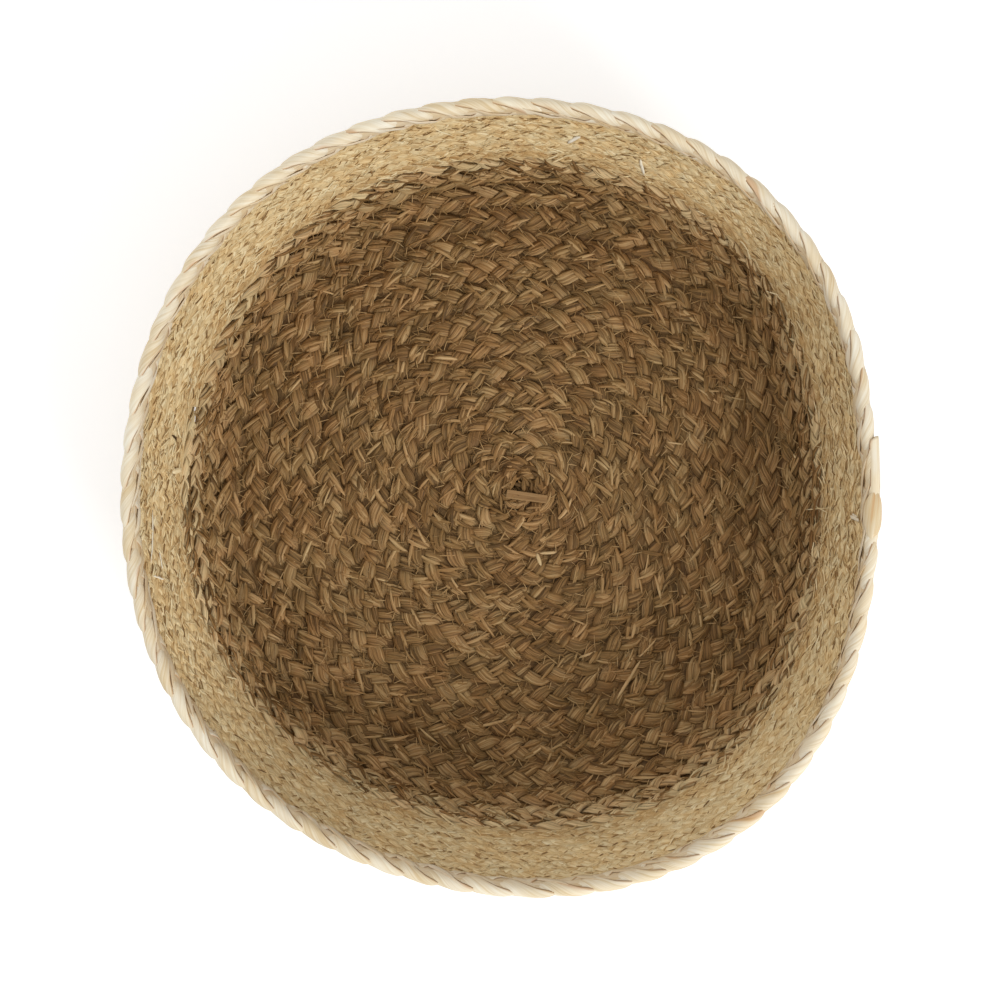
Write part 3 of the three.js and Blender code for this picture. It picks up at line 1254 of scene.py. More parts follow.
@dataclass
class PalePlait(FlatPlait):
    """The fine pale plait of the upper wall."""

    name: str = "pale"
    finish: Finish = Finish.PALE
    style: PlaitStyle = PlaitStyle(
        period=14 * MM,
        sway=1.35 * MM,
        corner=0.96,
        rise=0.38 * MM,
        width=3.2 * MM,
        thickness=1.1 * MM,
        waist=0.45,
        roll=0.25,
        tilt=0.06,
        top_corners=9,
        under_corners=3,
        creases=1,
        crease_depth=0.2 * MM,
        pleat=0.09 * MM,
        steps=12,
    )
    own_width: float = 4.3 * MM
    seed: int = 23
    fade: float = 12 * MM
    fade_tone: float = -2.3

    def route(self) -> Course:
        """Route from the brown plait's end to the rim."""
        winding = self.skin.winding
        return Course(self.skin, winding.pale_edges, winding.pale_angle, winding.pale_turns, self.own_width)

    def spans(self) -> tuple[tuple[str, float, float], ...]:
        """One stretch for the whole strand."""
        return (("", self.end_cut, self.course.length - self.end_cut),)

    def lightening(self, s: np.ndarray) -> np.ndarray:
        """Tone taken away towards the brown rows."""
        return self.fade_tone * np.clip(1 - (s - self.skin.winding.brown_last) / self.fade, 0, 1)


@dataclass(frozen=True)
class Joint:
    """A joint between two rows.

    Attributes:
        first: Turns after which it starts.
        last: Turns after which it ends.
        place: Its place along the section, from its turns.
    """

    first: float
    last: float
    place: Callable[[np.ndarray], np.ndarray]


@dataclass(frozen=True)
class Band:
    """Size of a band of joint fibres.

    Attributes:
        half_width: Half its width.
        depth: Distance inwards of its middle.
        half_thick: Half its thickness.
        pleat: Depth of its pleats.
        thinning: Length over which its end thins.
    """

    half_width: float
    depth: float
    half_thick: float
    pleat: float
    thinning: float


@dataclass
class JointFibres:
    """Fibres pressed into the joints between two rows and behind the strands.

    Attributes:
        skin: The basket's middle surface.
        last_rise: How much higher the brown band lies under its plait's last row.
        rim_sink: How far below the rim's foot the band under it lies.
        seed: Seed of the irregularities.
        rings_per_turn: Rings in one turn.
        columns: Points across a band.
        sway_spacing: Spacing of the changes in width and place.
        pleat_spacing: Spacing of the changes in the pleats.
        streak_spacing: Spacing of the changes in tone.
        aside: How far a band wanders aside.
        lift: How far it wanders in and out.
        tone: Usual tone.
        streak: How strongly the tone changes.
    """

    skin: BasketSkin
    last_rise: float = 1.2 * MM
    rim_sink: float = 0.3 * MM
    seed: int = 45
    rings_per_turn: int = 160
    columns: int = 9
    sway_spacing: float = 8 * MM
    pleat_spacing: float = 9 * MM
    streak_spacing: float = 14 * MM
    aside: float = 0.3 * MM
    lift: float = 0.15 * MM
    tone: float = -0.4
    streak: float = 0.9

    def build(self, brown: bpy.types.Material, pale: bpy.types.Material) -> None:
        """Build the fibres behind the brown and the pale joints and under the rim.

        Args:
            brown: Material of the brown joints.
            pale: Material of the other two.
        """
        winding = self.skin.winding
        brown_joint = Joint(0.05, winding.brown_end, self.brown_middle)
        pale_joint = Joint(winding.brown_end, winding.pale_end, winding.pale_joint)
        rim_joint = Joint(0.0, 1.0, self.rim_middle)
        brown_band = Band(5.6 * MM, -0.3 * MM, 0.22 * MM, 0.12 * MM, 28 * MM)
        pale_band = Band(3.0 * MM, 0.12 * MM, 0.22 * MM, 0.08 * MM, 12 * MM)
        rim_band = Band(3.0 * MM, 0.1 * MM, 0.75 * MM, 0.3 * MM, 0.1 * MM)
        dress(self.lay("brown_joint_fibres", brown_joint, brown_band), brown, Finish.BROWN)
        dress(self.lay("pale_joint_fibres", pale_joint, pale_band), pale, Finish.PALE)
        dress(self.lay("rim_joint_fibres", rim_joint, rim_band), pale, Finish.PALE)

    def brown_middle(self, turns: np.ndarray) -> np.ndarray:
        """Middle of the brown band, raised under the last row."""
        last_row = np.clip(10 * (turns - self.skin.winding.brown_end + 1.1), 0, 1)
        return self.skin.winding.brown_joint(turns) + self.last_rise * last_row

    def rim_middle(self, turns: np.ndarray) -> np.ndarray:
        """Middle of the band under the rim."""
        return self.skin.winding.rim_bottom() - self.rim_sink + 0 * turns

    def lay(self, name: str, joint: Joint, band: Band) -> bpy.types.Object:
        """Build one band that follows a joint.

        Args:
            name: Name of the piece.
            joint: The joint that it follows.
            band: Its size.

        Returns:
            The piece, still without a material.
        """
        rng = np.random.default_rng(self.seed)
        turns = np.linspace(joint.first, joint.last, int((joint.last - joint.first) * self.rings_per_turn))
        middle = joint.place(turns)
        radius, _ = self.skin.section(middle, np.zeros_like(turns))
        along = measured(2 * np.pi * (radius[1:] + radius[:-1]) / 2 * np.diff(turns))
        across, face = outline(self.columns, self.columns - 2)
        swell, aside, lift = drifts(rng, along, self.sway_spacing, 3).T
        pleats = drifts(rng, along, self.pleat_spacing, len(across))
        streaks = drifts(rng, along, self.streak_spacing, len(across))
        width = band.half_width * (1 + 0.06 * swell) * np.clip((along[-1] - along) / band.thinning, 0.1, 1)
        s = (middle + self.aside * aside)[:, None] + width[:, None] * across
        crown = np.sqrt(1 - across**2)
        out = face * crown * (band.half_thick + band.pleat * pleats)
        n = (band.depth + self.lift * lift)[:, None] + out
        angle = self.skin.winding.angle(turns)[:, None] + 0 * s
        rings = press_down(self.skin.place(s, n, angle))
        uv = fibre_map(along, np.linspace(0, 4 * band.half_width, len(across) + 1))
        # Painted shade: darker in the hollows of the pleats, and faintly over the whole band, which lies in
        # the joints.
        shade_and_stain = np.clip(0.3 - 0.6 * pleats, 0.0, 1.0)
        heap = Heap()
        heap.sweep_one(rings, uv, self.tone + self.streak * streaks, shade_and_stain)
        return heap.build(name)


@dataclass
class RimPlait:
    """The thick husk plait on the top edge: three wide straps folded round each other.

    Attributes:
        skin: The basket's middle surface.
        height: Height of the plait.
        half_up: Half the height of the oval that the straps are folded over.
        half_out: Half the thickness of that oval.
        splice: Angle at which the plait starts and ends.
        weaves: Weaves of one strap round the rim.
        strap_width: Width of a strap.
        strap_thickness: Thickness of a strap.
        bulge: Height of the strap's crown.
        tuck: How far the edge that is tucked under lies below the other.
        dwell: How much slower a strap turns over the top and bottom edges.
        slow_at: Phase at which it is slowest.
        flare: How much a strap widens while it is slow.
        crossing: How sharply a strap passes through the middle of the plait.
        columns: Points across a strap.
        steps: Rings in one weave.
        pace: How far the weave runs ahead or behind, as a phase.
        pace_spacing: Spacing of the changes in its pace.
        settled: Length at both ends over which the weave comes back into step.
        uneven: How much a strap's width varies, as a share.
        width_spacing: Spacing of the changes in its width.
        lift: Distance of a strap's middle out of the oval.
        back: How far the plait stands back past its end, where the splice's strip lies on it.
        back_at: Distance from the start at which it stands back most.
        back_length: Length over which it does.
        pleat: Depth of a strap's pleats.
        pleat_spacing: Spacing of the changes in the pleats.
        shade_spacing: Spacing of the changes in tone from fibre to fibre.
        tone_spacing: Spacing of the changes in a whole strap's tone.
        stain_spacing: Spacing of the stained stretches of a strap's edges.
        seed: Seed of the irregularities.
    """

    skin: BasketSkin
    height: float = 13 * MM
    half_up: float = 5.35 * MM
    half_out: float = 2.6 * MM
    splice: float = math.radians(-4)
    weaves: int = 22
    strap_width: float = 7.8 * MM
    strap_thickness: float = 0.5 * MM
    bulge: float = 0.35 * MM
    tuck: float = 0.45 * MM
    dwell: float = 0.27
    slow_at: float = 2.45
    flare: float = 0.12
    crossing: float = 2.6
    columns: int = 15
    steps: int = 60
    pace: float = 0.3
    pace_spacing: float = 45 * MM
    settled: float = 30 * MM
    uneven: float = 0.1
    width_spacing: float = 25 * MM
    lift: float = 0.2 * MM
    back: float = 1.0 * MM
    back_at: float = 42 * MM
    back_length: float = 20 * MM
    pleat: float = 0.13 * MM
    pleat_spacing: float = 18 * MM
    shade_spacing: float = 22 * MM
    tone_spacing: float = 24 * MM
    stain_spacing: float = 13 * MM
    seed: int = 37

    def __post_init__(self) -> None:
        """Measure the oval and the rim."""
        self.ovals = np.linspace(-2 * np.pi, 4 * np.pi, 2161)
        speed = np.hypot(self.half_up * np.cos(self.ovals), self.half_out * np.sin(self.ovals))
        arcs = measured((speed[1:] + speed[:-1]) / 2 * np.diff(self.ovals))
        self.arcs = arcs - np.interp(0.0, self.ovals, arcs)
        self.girth = float(np.interp(2 * np.pi, self.ovals, self.arcs))
        self.length = 2 * np.pi * self.skin.rim_radius

    def arc(self, turn: np.ndarray) -> np.ndarray:
        """Distance round the oval at this turn, from the middle of its inner face."""
        whole = np.floor(turn / (2 * np.pi))
        return np.interp(turn - 2 * np.pi * whole, self.ovals, self.arcs) + whole * self.girth

    def turn(self, arc: np.ndarray) -> np.ndarray:
        """Turn round the oval at this distance."""
        whole = np.floor(arc / self.girth)
        return np.interp(arc - self.girth * whole, self.arcs, self.ovals) + whole * 2 * np.pi

    def set_back(self, along: np.ndarray) -> np.ndarray:
        """How far the plait stands back at these distances."""
        return self.back * np.exp(-(((along - self.back_at) / self.back_length) ** 2))

    def band(
        self,
        along: np.ndarray,
        arc: np.ndarray,
        side: np.ndarray,
        half_width: np.ndarray,
        lift: np.ndarray,
        rng: np.random.Generator,
        back: float = 0.0,
    ) -> tuple[np.ndarray, ...]:
        """Strap that hugs the oval.

        Args:
            along: Distance of its middle along the rim.
            arc: Distance of its middle round the oval.
            side: 1 where the strap passes over the top, -1 where it passes under, 0 between.
            half_width: Half its width.
            lift: Distance of its middle out of the oval.
            rng: Seeded source of its pleats and shades.
            back: How much it stands back with the plait past its end.

        Returns:
            Points, texture coordinates, tone and groove of one swept body.
        """
        run_along, run_round = np.gradient(along), np.gradient(arc)
        pace = np.hypot(run_along, run_round)
        run_along, run_round = run_along / pace, run_round / pace
        across, face = outline(self.columns, self.columns - 2)
        face[[0, self.columns - 1]] = 0.0
        reach = across[None, :] * half_width[:, None]
        own_along = along[:, None] - reach * run_round[:, None]
        turn = self.turn(arc[:, None] + reach * run_along[:, None])
        distance = measured(np.hypot(np.diff(along), np.diff(arc)))
        pleats = drifts(rng, distance, self.pleat_spacing, len(across)) * self.pleat
        crown = (1 - across**2)[None, :]
        thick = self.strap_thickness / 2 * (0.35 + 0.65 * np.sqrt(np.maximum(crown, 0)))
        out = side[:, None] * (lift[:, None] + self.bulge * crown - self.tuck * across[None, :])
        out = out + face[None, :] * (thick + pleats * (np.abs(across) < 1)[None, :])
        outward = -self.half_out * np.cos(turn) * side[:, None]
        up = self.half_up * np.sin(turn)
        normal_out = -self.half_up * np.cos(turn)
        normal_up = self.half_out * np.sin(turn) * side[:, None]
        size = np.hypot(normal_out, normal_up)
        outward = outward + out * normal_out / size
        up = up + out * normal_up / size
        angle = self.splice + 2 * np.pi * own_along / self.length
        rings = self.skin.rim_place(self.height / 2 + up, outward - back * self.set_back(own_along), angle)
        edge = np.clip((np.abs(across) - 0.9) / 0.1, 0, 1)
        shades = drifts(rng, distance, self.shade_spacing, len(across))
        shared = drifts(rng, distance, self.tone_spacing, 1)
        uv = np.empty((len(along), len(across) + 1, 2))
        uv[..., 0] = distance[:, None] + rng.uniform(0, 1)
        uv[:, :-1, 1] = reach + np.where(face < 0, 0.03, 0.0)
        uv[:, -1, 1] = reach[:, 0]
        stain = drifts(rng, distance, self.stain_spacing, 1)
        reached = 1.15 - 1.1 * np.clip(np.abs(stain) - 0.35, 0, 1)
        stained = np.clip((across[None, :] * np.sign(stain) - reached) / 0.25, 0, 0.7)
        shade_and_stain = np.maximum(edge[None, :], stained)
        return rings, uv, 0.6 * shades + 0.8 * shared, shade_and_stain

    def strap(self, index: int) -> tuple[np.ndarray, ...]:
        """One of the three straps, all the way round.

        Args:
            index: Which strap, from 0.

        Returns:
            Points, texture coordinates, tone and groove of one swept body.
        """
        rng = np.random.default_rng(self.seed * 10 + index)
        shared = Drift(np.random.default_rng(self.seed), self.length, self.pace_spacing)
        along = np.linspace(0.0, self.length, self.weaves * self.steps + 1)
        ends = np.clip(np.minimum(along, self.length - along) / self.settled, 0, 1)
        phase = 2 * np.pi * (self.weaves * along / self.length + index / 3)
        phase = phase + self.pace * ends * shared.at(along)
        side = np.tanh(self.crossing * np.sin(phase)) / math.tanh(self.crossing)
        late = 2 * (phase - self.slow_at)
        half_width = self.strap_width / 2 * (1 + self.flare * np.sin(late))
        half_width = half_width * (1 + self.uneven * Drift(rng, self.length, self.width_spacing).at(along))
        lift = np.full_like(along, self.lift)
        arc = self.arc(phase - self.dwell * np.sin(late))
        return self.band(along, arc, side, half_width, lift, rng, back=1.0)

    def core(self) -> tuple[np.ndarray, ...]:
        """Leaf ends inside the plait, which the straps are folded over.

        Returns:
            Points, texture coordinates, tone and groove of one swept body.
        """
        rng = np.random.default_rng(self.seed * 10 + 9)
        along = np.linspace(0.3 * MM, self.length - 0.3 * MM, 460)
        turn = np.linspace(0, 2 * np.pi, 17)[:-1]
        shrink = 0.94 + 0.05 * np.stack([Drift(rng, self.length, 6 * MM).at(along) for _ in turn], axis=1)
        up = self.height / 2 + shrink * self.half_up * np.sin(turn)
        inside = np.maximum(np.cos(turn), 0.0) ** 0.6 * (1 + 0.22 * np.maximum(np.cos(turn + 0.6), 0.0))
        outward = -shrink * self.half_out * np.where(inside > 0, inside, np.cos(turn))
        outward = outward - self.set_back(along)[:, None]
        angle = (self.splice + 2 * np.pi * along / self.length)[:, None] + 0 * up
        uv = fibre_map(along, np.linspace(0, self.girth, len(turn) + 1))
        # Painted shade: the core's darker tone, with a touch of the orange edge colour, makes it as dark
        # and warm as the shade between the straps.
        return self.skin.rim_place(up, outward, angle), uv, 0 * up - 0.8, 0 * up + 0.12

    def build(self, material: bpy.types.Material) -> list[bpy.types.Object]:
        """Build the three straps, the core and the strips at the splice.

        Args:
            material: Their material.

        Returns:
            The pieces.
        """
        LOG.info("rim plait: %.2f m", self.length)
        parts = [(f"rim_strand_{index + 1}", self.strap(index), ("rim_braid",)) for index in range(3)]
        pieces = []
        for name, body, nodes in (*parts, ("rim_core", self.core(), ())):
            heap = Heap()
            heap.sweep_one(*body)
            pieces.append(heap.build(name))
            dress(pieces[-1], material, Finish.HUSK, *nodes)
        return [*pieces, self.splice_piece(material)]

    def splice_piece(self, material: bpy.types.Material) -> bpy.types.Object:
        """The leaf that is wrapped over the splice and the folded strip whose end stands out.

        Args:
            material: Their material.

        Returns:
            The one piece that holds both.
        """
        heap = Heap()
        rng = np.random.default_rng(self.seed * 10 + 7)
        part = np.linspace(0.0, 1.0, 40)
        ones = np.ones_like(part)
        # Both run past the splice and round the oval at an even pace, here in degrees.
        leaf_past, leaf_turn = np.radians(-2.6 + 7.9 * part), np.radians(82 + 22 * part)
        leaf_half = 3.9 * MM * (0.08 + 0.92 * np.sin(np.pi * part) ** 0.7)
        leaf_lift = (1.3 - 1.5 * np.abs(2 * part - 1) ** 3) * MM
        strip_past, strip_turn = np.radians(-8.5 + 21.9 * part), np.radians(96 + 30 * part)
        blunt = np.clip(18 * np.minimum(part + 0.04, 1.025 - part), 0.4, 1)
        strip_half = (2.0 + 0.8 * part) * MM * blunt
        strip_lift = np.interp(part, (0, 0.35, 0.57, 1), (-0.9, -0.9, 0.3, 0.6)) * MM
        for past, turn, half_width, lift, inner, outer in (
            (leaf_past, leaf_turn, leaf_half, leaf_lift, -1.2, -2.2),
            (strip_past, strip_turn, strip_half, strip_lift, -0.3, -2.4),
        ):
            along = self.length * past / (2 * np.pi)
            rings, uv, tone, shade_and_stain = self.band(along, self.arc(turn), ones, half_width, lift, rng)
            shade = np.where(uv[:, :-1, 1] > 0.3 * MM, outer, inner)
            heap.sweep_one(rings, uv, tone + shade, shade_and_stain)
        piece = heap.build("rim_splice_leaf")
        dress(piece, material, Finish.HUSK, "rim_splice_strip")
        return piece


class Surface:
    """The plaits' own faces, on which threads and loose fibres lie.

    Attributes:
        START: Distance inwards from the middle surface at which the faces are looked for.
        DEPTH: How far they are looked for from there.
        LOWEST: Least height that a thread or fibre lies at.
        SUNK: Height of a body's middle over the faces, as a share of half its thickness.
        BEND: How soon a standing end comes down, in body lengths, as its inverse.
        CURVE: Power of its curve.
    """

    START = 9 * MM
    DEPTH = 13 * MM
    LOWEST = -1 * MM
    SUNK = 0.7
    BEND = 3.2
    CURVE = 1.5

    def __init__(self, skin: BasketSkin, pieces: list[bpy.types.Object]) -> None:
        """Take the faces of these pieces.

        Args:
            skin: The basket's middle surface.
            pieces: Strands of the plaits.
        """
        self.skin = skin
        bpy.context.view_layer.update()
        graph = bpy.context.evaluated_depsgraph_get()
        self.trees = [BVHTree.FromObject(piece, graph) for piece in pieces]

    def reach(self, start: Vector, run: Vector, limit: float) -> float:
        """Distance to the first face along a ray.

        Args:
            start: Start of the ray.
            run: Its direction.
            limit: How far to look.

        Returns:
            The distance, or the limit where nothing is met.
        """
        for tree in self.trees:
            distance = tree.ray_cast(start, run, limit)[3]
            if distance is not None:
                limit = min(limit, distance)
        return limit

    def heights(self, s: np.ndarray, angle: np.ndarray) -> np.ndarray:
        """Height of the plaits over the middle surface.

        Args:
            s: Distance along the section.
            angle: Angle round the axis.

        Returns:
            Distance inwards of the first face met from inside.
        """
        starts = self.skin.place(s, np.full_like(s, self.START), angle).reshape(-1, 3)
        ends = self.skin.place(s, np.full_like(s, self.START - self.DEPTH), angle).reshape(-1, 3)
        runs = unit(ends - starts)
        rays = zip(map(Vector, starts), map(Vector, runs))
        found = [self.START - self.reach(start, run, self.DEPTH) for start, run in rays]
        return np.array(found).reshape(s.shape)

    def lay(
        self,
        s: np.ndarray,
        angle: np.ndarray,
        half_width: np.ndarray,
        half_thick: float,
        sides: int,
        ends: tuple[np.ndarray, np.ndarray],
    ) -> np.ndarray:
        """Bodies pulled taut over the plaits.

        Args:
            s: Distance along the section, shaped (bodies, points).
            angle: Angle round the axis, shaped like s.
            half_width: Half the width of each body at each point.
            half_thick: Half the thickness.
            sides: Sides of the section.
            ends: How far the first and the last point of each body stand out.

        Returns:
            Points shaped (bodies, points, sides, 3).
        """
        heights = taut(np.maximum(self.heights(s, angle), self.LOWEST))
        part = np.linspace(0, 1, s.shape[1])
        n = heights + self.SUNK * half_thick
        for stand, away in zip(ends, (part, 1 - part)):
            n = n + stand[:, None] * np.clip(1 - self.BEND * away, 0, 1) ** self.CURVE
        middle = self.skin.place(s, n, angle)
        up = unit(self.skin.place(s, n + MM, angle) - middle)
        run = unit(np.gradient(middle, axis=1))
        side = unit(np.cross(run, up))
        up = np.cross(side, run)
        corner = 2 * np.pi * (np.arange(sides) + 0.5) / sides
        across = half_width[:, :, None, None] * np.cos(corner)[:, None] * side[:, :, None]
        out = half_thick * np.sin(corner)[:, None] * up[:, :, None]
        return press_down(middle[:, :, None] + across + out)


def taut(heights: np.ndarray) -> np.ndarray:
    """Least heights of threads pulled over these heights.

    Args:
        heights: Heights under the threads, one thread a row.

    Returns:
        Heights of the threads, shaped like the argument.
    """
    count = heights.shape[1]
    out = heights.copy()
    for low in range(count):
        for high in range(low + 1, count):
            part = np.arange(high - low + 1) / (high - low)
            line = heights[:, low, None] * (1 - part) + heights[:, high, None] * part
            out[:, low:high + 1] = np.maximum(out[:, low:high + 1], line)
    return out


def add_slim(
    heap: Heap,
    rings: np.ndarray,
    tone: np.ndarray,
    width: float,
    rng: np.random.Generator,
    shade_and_stain: np.ndarray | float = 0.0,
) -> None:
    """Add laid threads or fibres to a mesh.

    Args:
        heap: Mesh that takes them.
        rings: Points shaped (bodies, points, sides, 3).
        tone: Tone of each body.
        width: Usual width of a body.
        rng: Seeded source of where each starts in its texture.
        shade_and_stain: How much each corner of the section takes the material's edge colour: painted shade
            on the plaits, real stain on the husk.
    """
    bodies, count, sides, _ = rings.shape
    middle = rings.mean(axis=2)
    steps = np.linalg.norm(np.diff(middle, axis=1), axis=2)
    distance = np.concatenate([np.zeros((bodies, 1)), np.cumsum(steps, axis=1)], axis=1)
    uv = np.empty((bodies, count, sides + 1, 2))
    uv[..., 0] = distance[..., None] + rng.uniform(0, 1, (bodies, 1, 1))
    uv[..., 1] = np.linspace(0, 2 * width, sides + 1) + rng.uniform(0, 1, (bodies, 1, 1))
    shade = np.broadcast_to(tone[:, None, None], (bodies, count, sides))
    heap.sweep(rings, uv, shade, np.zeros((bodies, count, sides)) + shade_and_stain)


@dataclass
class RimTips:
    """Leaf tips that come down from the rim's straps over the top pale row.

    Attributes:
        rim: The rim's plait.
        surface: Faces that they lie on.
        stray: How far a tip strays from its even place, as a share of their spacing.
        lengths: Shortest and longest.
        tops: Lowest and highest start, from the rim's foot.
        ends: Lowest and highest end, from the rim's foot.
        half_widths: Narrowest and widest, halved.
        half_thick: Half the thickness.
        fall: Power of the curve that a tip falls along.
        sides: Sides of its section.
        points: Points along it.
        tones: Darkest and lightest tone.
        stained: How much its edges take the husk's real stain colour.
        seed: Seed of the irregularities.
    """

    rim: RimPlait
    surface: Surface
    stray: float = 0.25
    lengths: tuple[float, float] = (15 * MM, 23 * MM)
    tops: tuple[float, float] = (10.5 * MM, 12.0 * MM)
    ends: tuple[float, float] = (-4.0 * MM, -0.5 * MM)
    half_widths: tuple[float, float] = (1.6 * MM, 2.5 * MM)
    half_thick: float = 0.22 * MM
    fall: float = 1.2
    sides: int = 8
    points: int = 12
    tones: tuple[float, float] = (-1.5, 0.8)
    stained: float = 0.35
    seed: int = 375

    def build(self, material: bpy.types.Material) -> None:
        """Build the tips, one for each arm of the rim's plait.

        Args:
            material: Their material.
        """
        rng = np.random.default_rng(self.seed)
        count = 3 * self.rim.weaves
        part = np.linspace(0, 1, self.points)[None, :]
        foot = self.rim.skin.winding.rim_bottom()
        places = np.arange(count) + rng.uniform(-self.stray, self.stray, count)
        start = self.rim.splice - 2 * np.pi * places[:, None] / count
        length = rng.uniform(*self.lengths, (count, 1))
        angle = start - length * part / self.rim.skin.rim_radius
        top = foot + rng.uniform(*self.tops, (count, 1))
        low = foot + rng.uniform(*self.ends, (count, 1))
        s = top + (low - top) * part**self.fall
        pointed = np.clip(1.02 - np.abs(2 * part - 1) ** 2.4, 0.08, 1)
        half = rng.uniform(*self.half_widths, (count, 1)) * pointed
        stands = (np.full(count, -0.3 * MM), rng.uniform(-0.2, 0.3, count) * MM)
        rings = self.surface.lay(s, angle, half, self.half_thick, self.sides, stands)
        heap = Heap()
        edge = np.abs(np.cos(2 * np.pi * (np.arange(self.sides) + 0.5) / self.sides)) > 0.9
        add_slim(heap, rings, rng.uniform(*self.tones, count), 2 * MM, rng, self.stained * edge)
        dress(heap.build("rim_leaf_tips"), material, Finish.HUSK)


@dataclass
class Stitching:
    """Threads that zigzag over the joints between rows.

    Attributes:
        skin: The basket's middle surface.
        surface: Faces that the threads lie on.
        radius: Half the thickness of a thread.
        dip: How deep the ends of a leg go in between the strips.
        steps: Shortest and longest step of a leg, as shares of the usual one.
        reaches: Shortest and longest reach of a leg, as shares of the usual one.
        least_radius: Least radius at which steps are measured.
        points: Points along a leg.
        seed: Seed of the irregularities.
    """

    skin: BasketSkin
    surface: Surface
    radius: float = 0.2 * MM
    dip: float = 0.7 * MM
    steps: tuple[float, float] = (0.45, 1.4)
    reaches: tuple[float, float] = (0.6, 1.15)
    least_radius: float = 2 * MM
    points: int = 7
    seed: int = 51

    def build(self, material: bpy.types.Material) -> None:
        """Build the threads of the brown rows, the pale rows and the rim.

        Args:
            material: Their material.
        """
        winding = self.skin.winding
        brown = Joint(0.4, winding.brown_end, winding.brown_joint)
        pale = Joint(winding.brown_end, winding.pale_end, winding.pale_joint)
        rim = Joint(0.0, 1.0, self.rim_joint)
        for name, thread, joint, reach, advance, skipped in (
            ("brown_stitches", "brown_seam_thread", brown, 2.3 * MM, 3.0 * MM, 0.2),
            ("pale_stitches", "pale_seam_thread", pale, 1.3 * MM, 4.5 * MM, 0.5),
            ("rim_stitches", "rim_seam_thread", rim, 2.0 * MM, 4.6 * MM, 0.35),
        ):
            heap = Heap()
            self.zigzag(heap, joint, reach, advance, skipped)
            dress(heap.build(name), material, Finish.THREAD, thread)

    def rim_joint(self, turns: np.ndarray) -> np.ndarray:
        """Joint under the rim."""
        winding = self.skin.winding
        return winding.rim_bottom() - winding.row_gap + 0 * turns

    def zigzag(self, heap: Heap, joint: Joint, reach: float, advance: float, skipped: float) -> None:
        """Lay the legs of one thread.

        Args:
            heap: Mesh that takes the legs.
            joint: The joint that they cross.
            reach: How far a leg runs to each side of the joint.
            advance: Usual step of a leg along the joint.
            skipped: Share of the legs that lie hidden between the strips.
        """
        rng = np.random.default_rng(self.seed)
        corners = [joint.first]
        while corners[-1] < joint.last:
            radius, _ = self.skin.section(joint.place(np.asarray(corners[-1])), np.asarray(0.0))
            girth = 2 * np.pi * max(float(radius), self.least_radius)
            corners.append(corners[-1] + advance * rng.uniform(*self.steps) / girth)
        turns = np.array(corners)
        sides = np.where(np.arange(len(turns)) % 2, 1, -1)
        across = reach * rng.uniform(*self.reaches, len(turns)) * sides
        kept = rng.uniform(0, 1, len(turns) - 1) > skipped
        part = np.linspace(0, 1, self.points)[None, :]
        leg_turns = turns[:-1, None] * (1 - part) + turns[1:, None] * part
        leg_across = across[:-1, None] * (1 - part) + across[1:, None] * part
        leg_turns, leg_across = leg_turns[kept], leg_across[kept]
        dip = np.full(len(leg_turns), -self.dip)
        s = joint.place(leg_turns) + leg_across
        half = np.full_like(s, self.radius)
        rings = self.surface.lay(s, self.skin.winding.angle(leg_turns), half, self.radius, 4, (dip, dip))
        add_slim(heap, rings, rng.uniform(-1, 1, len(rings)), self.radius, rng)


@dataclass(frozen=True)
class Kind:
    """A kind of loose fibre.

    Attributes:
        half_width: Usual half width.
        lengths: Shortest and longest.
        sides: Sides of the section.
    """

    half_width: float
    lengths: tuple[float, float]
    sides: int


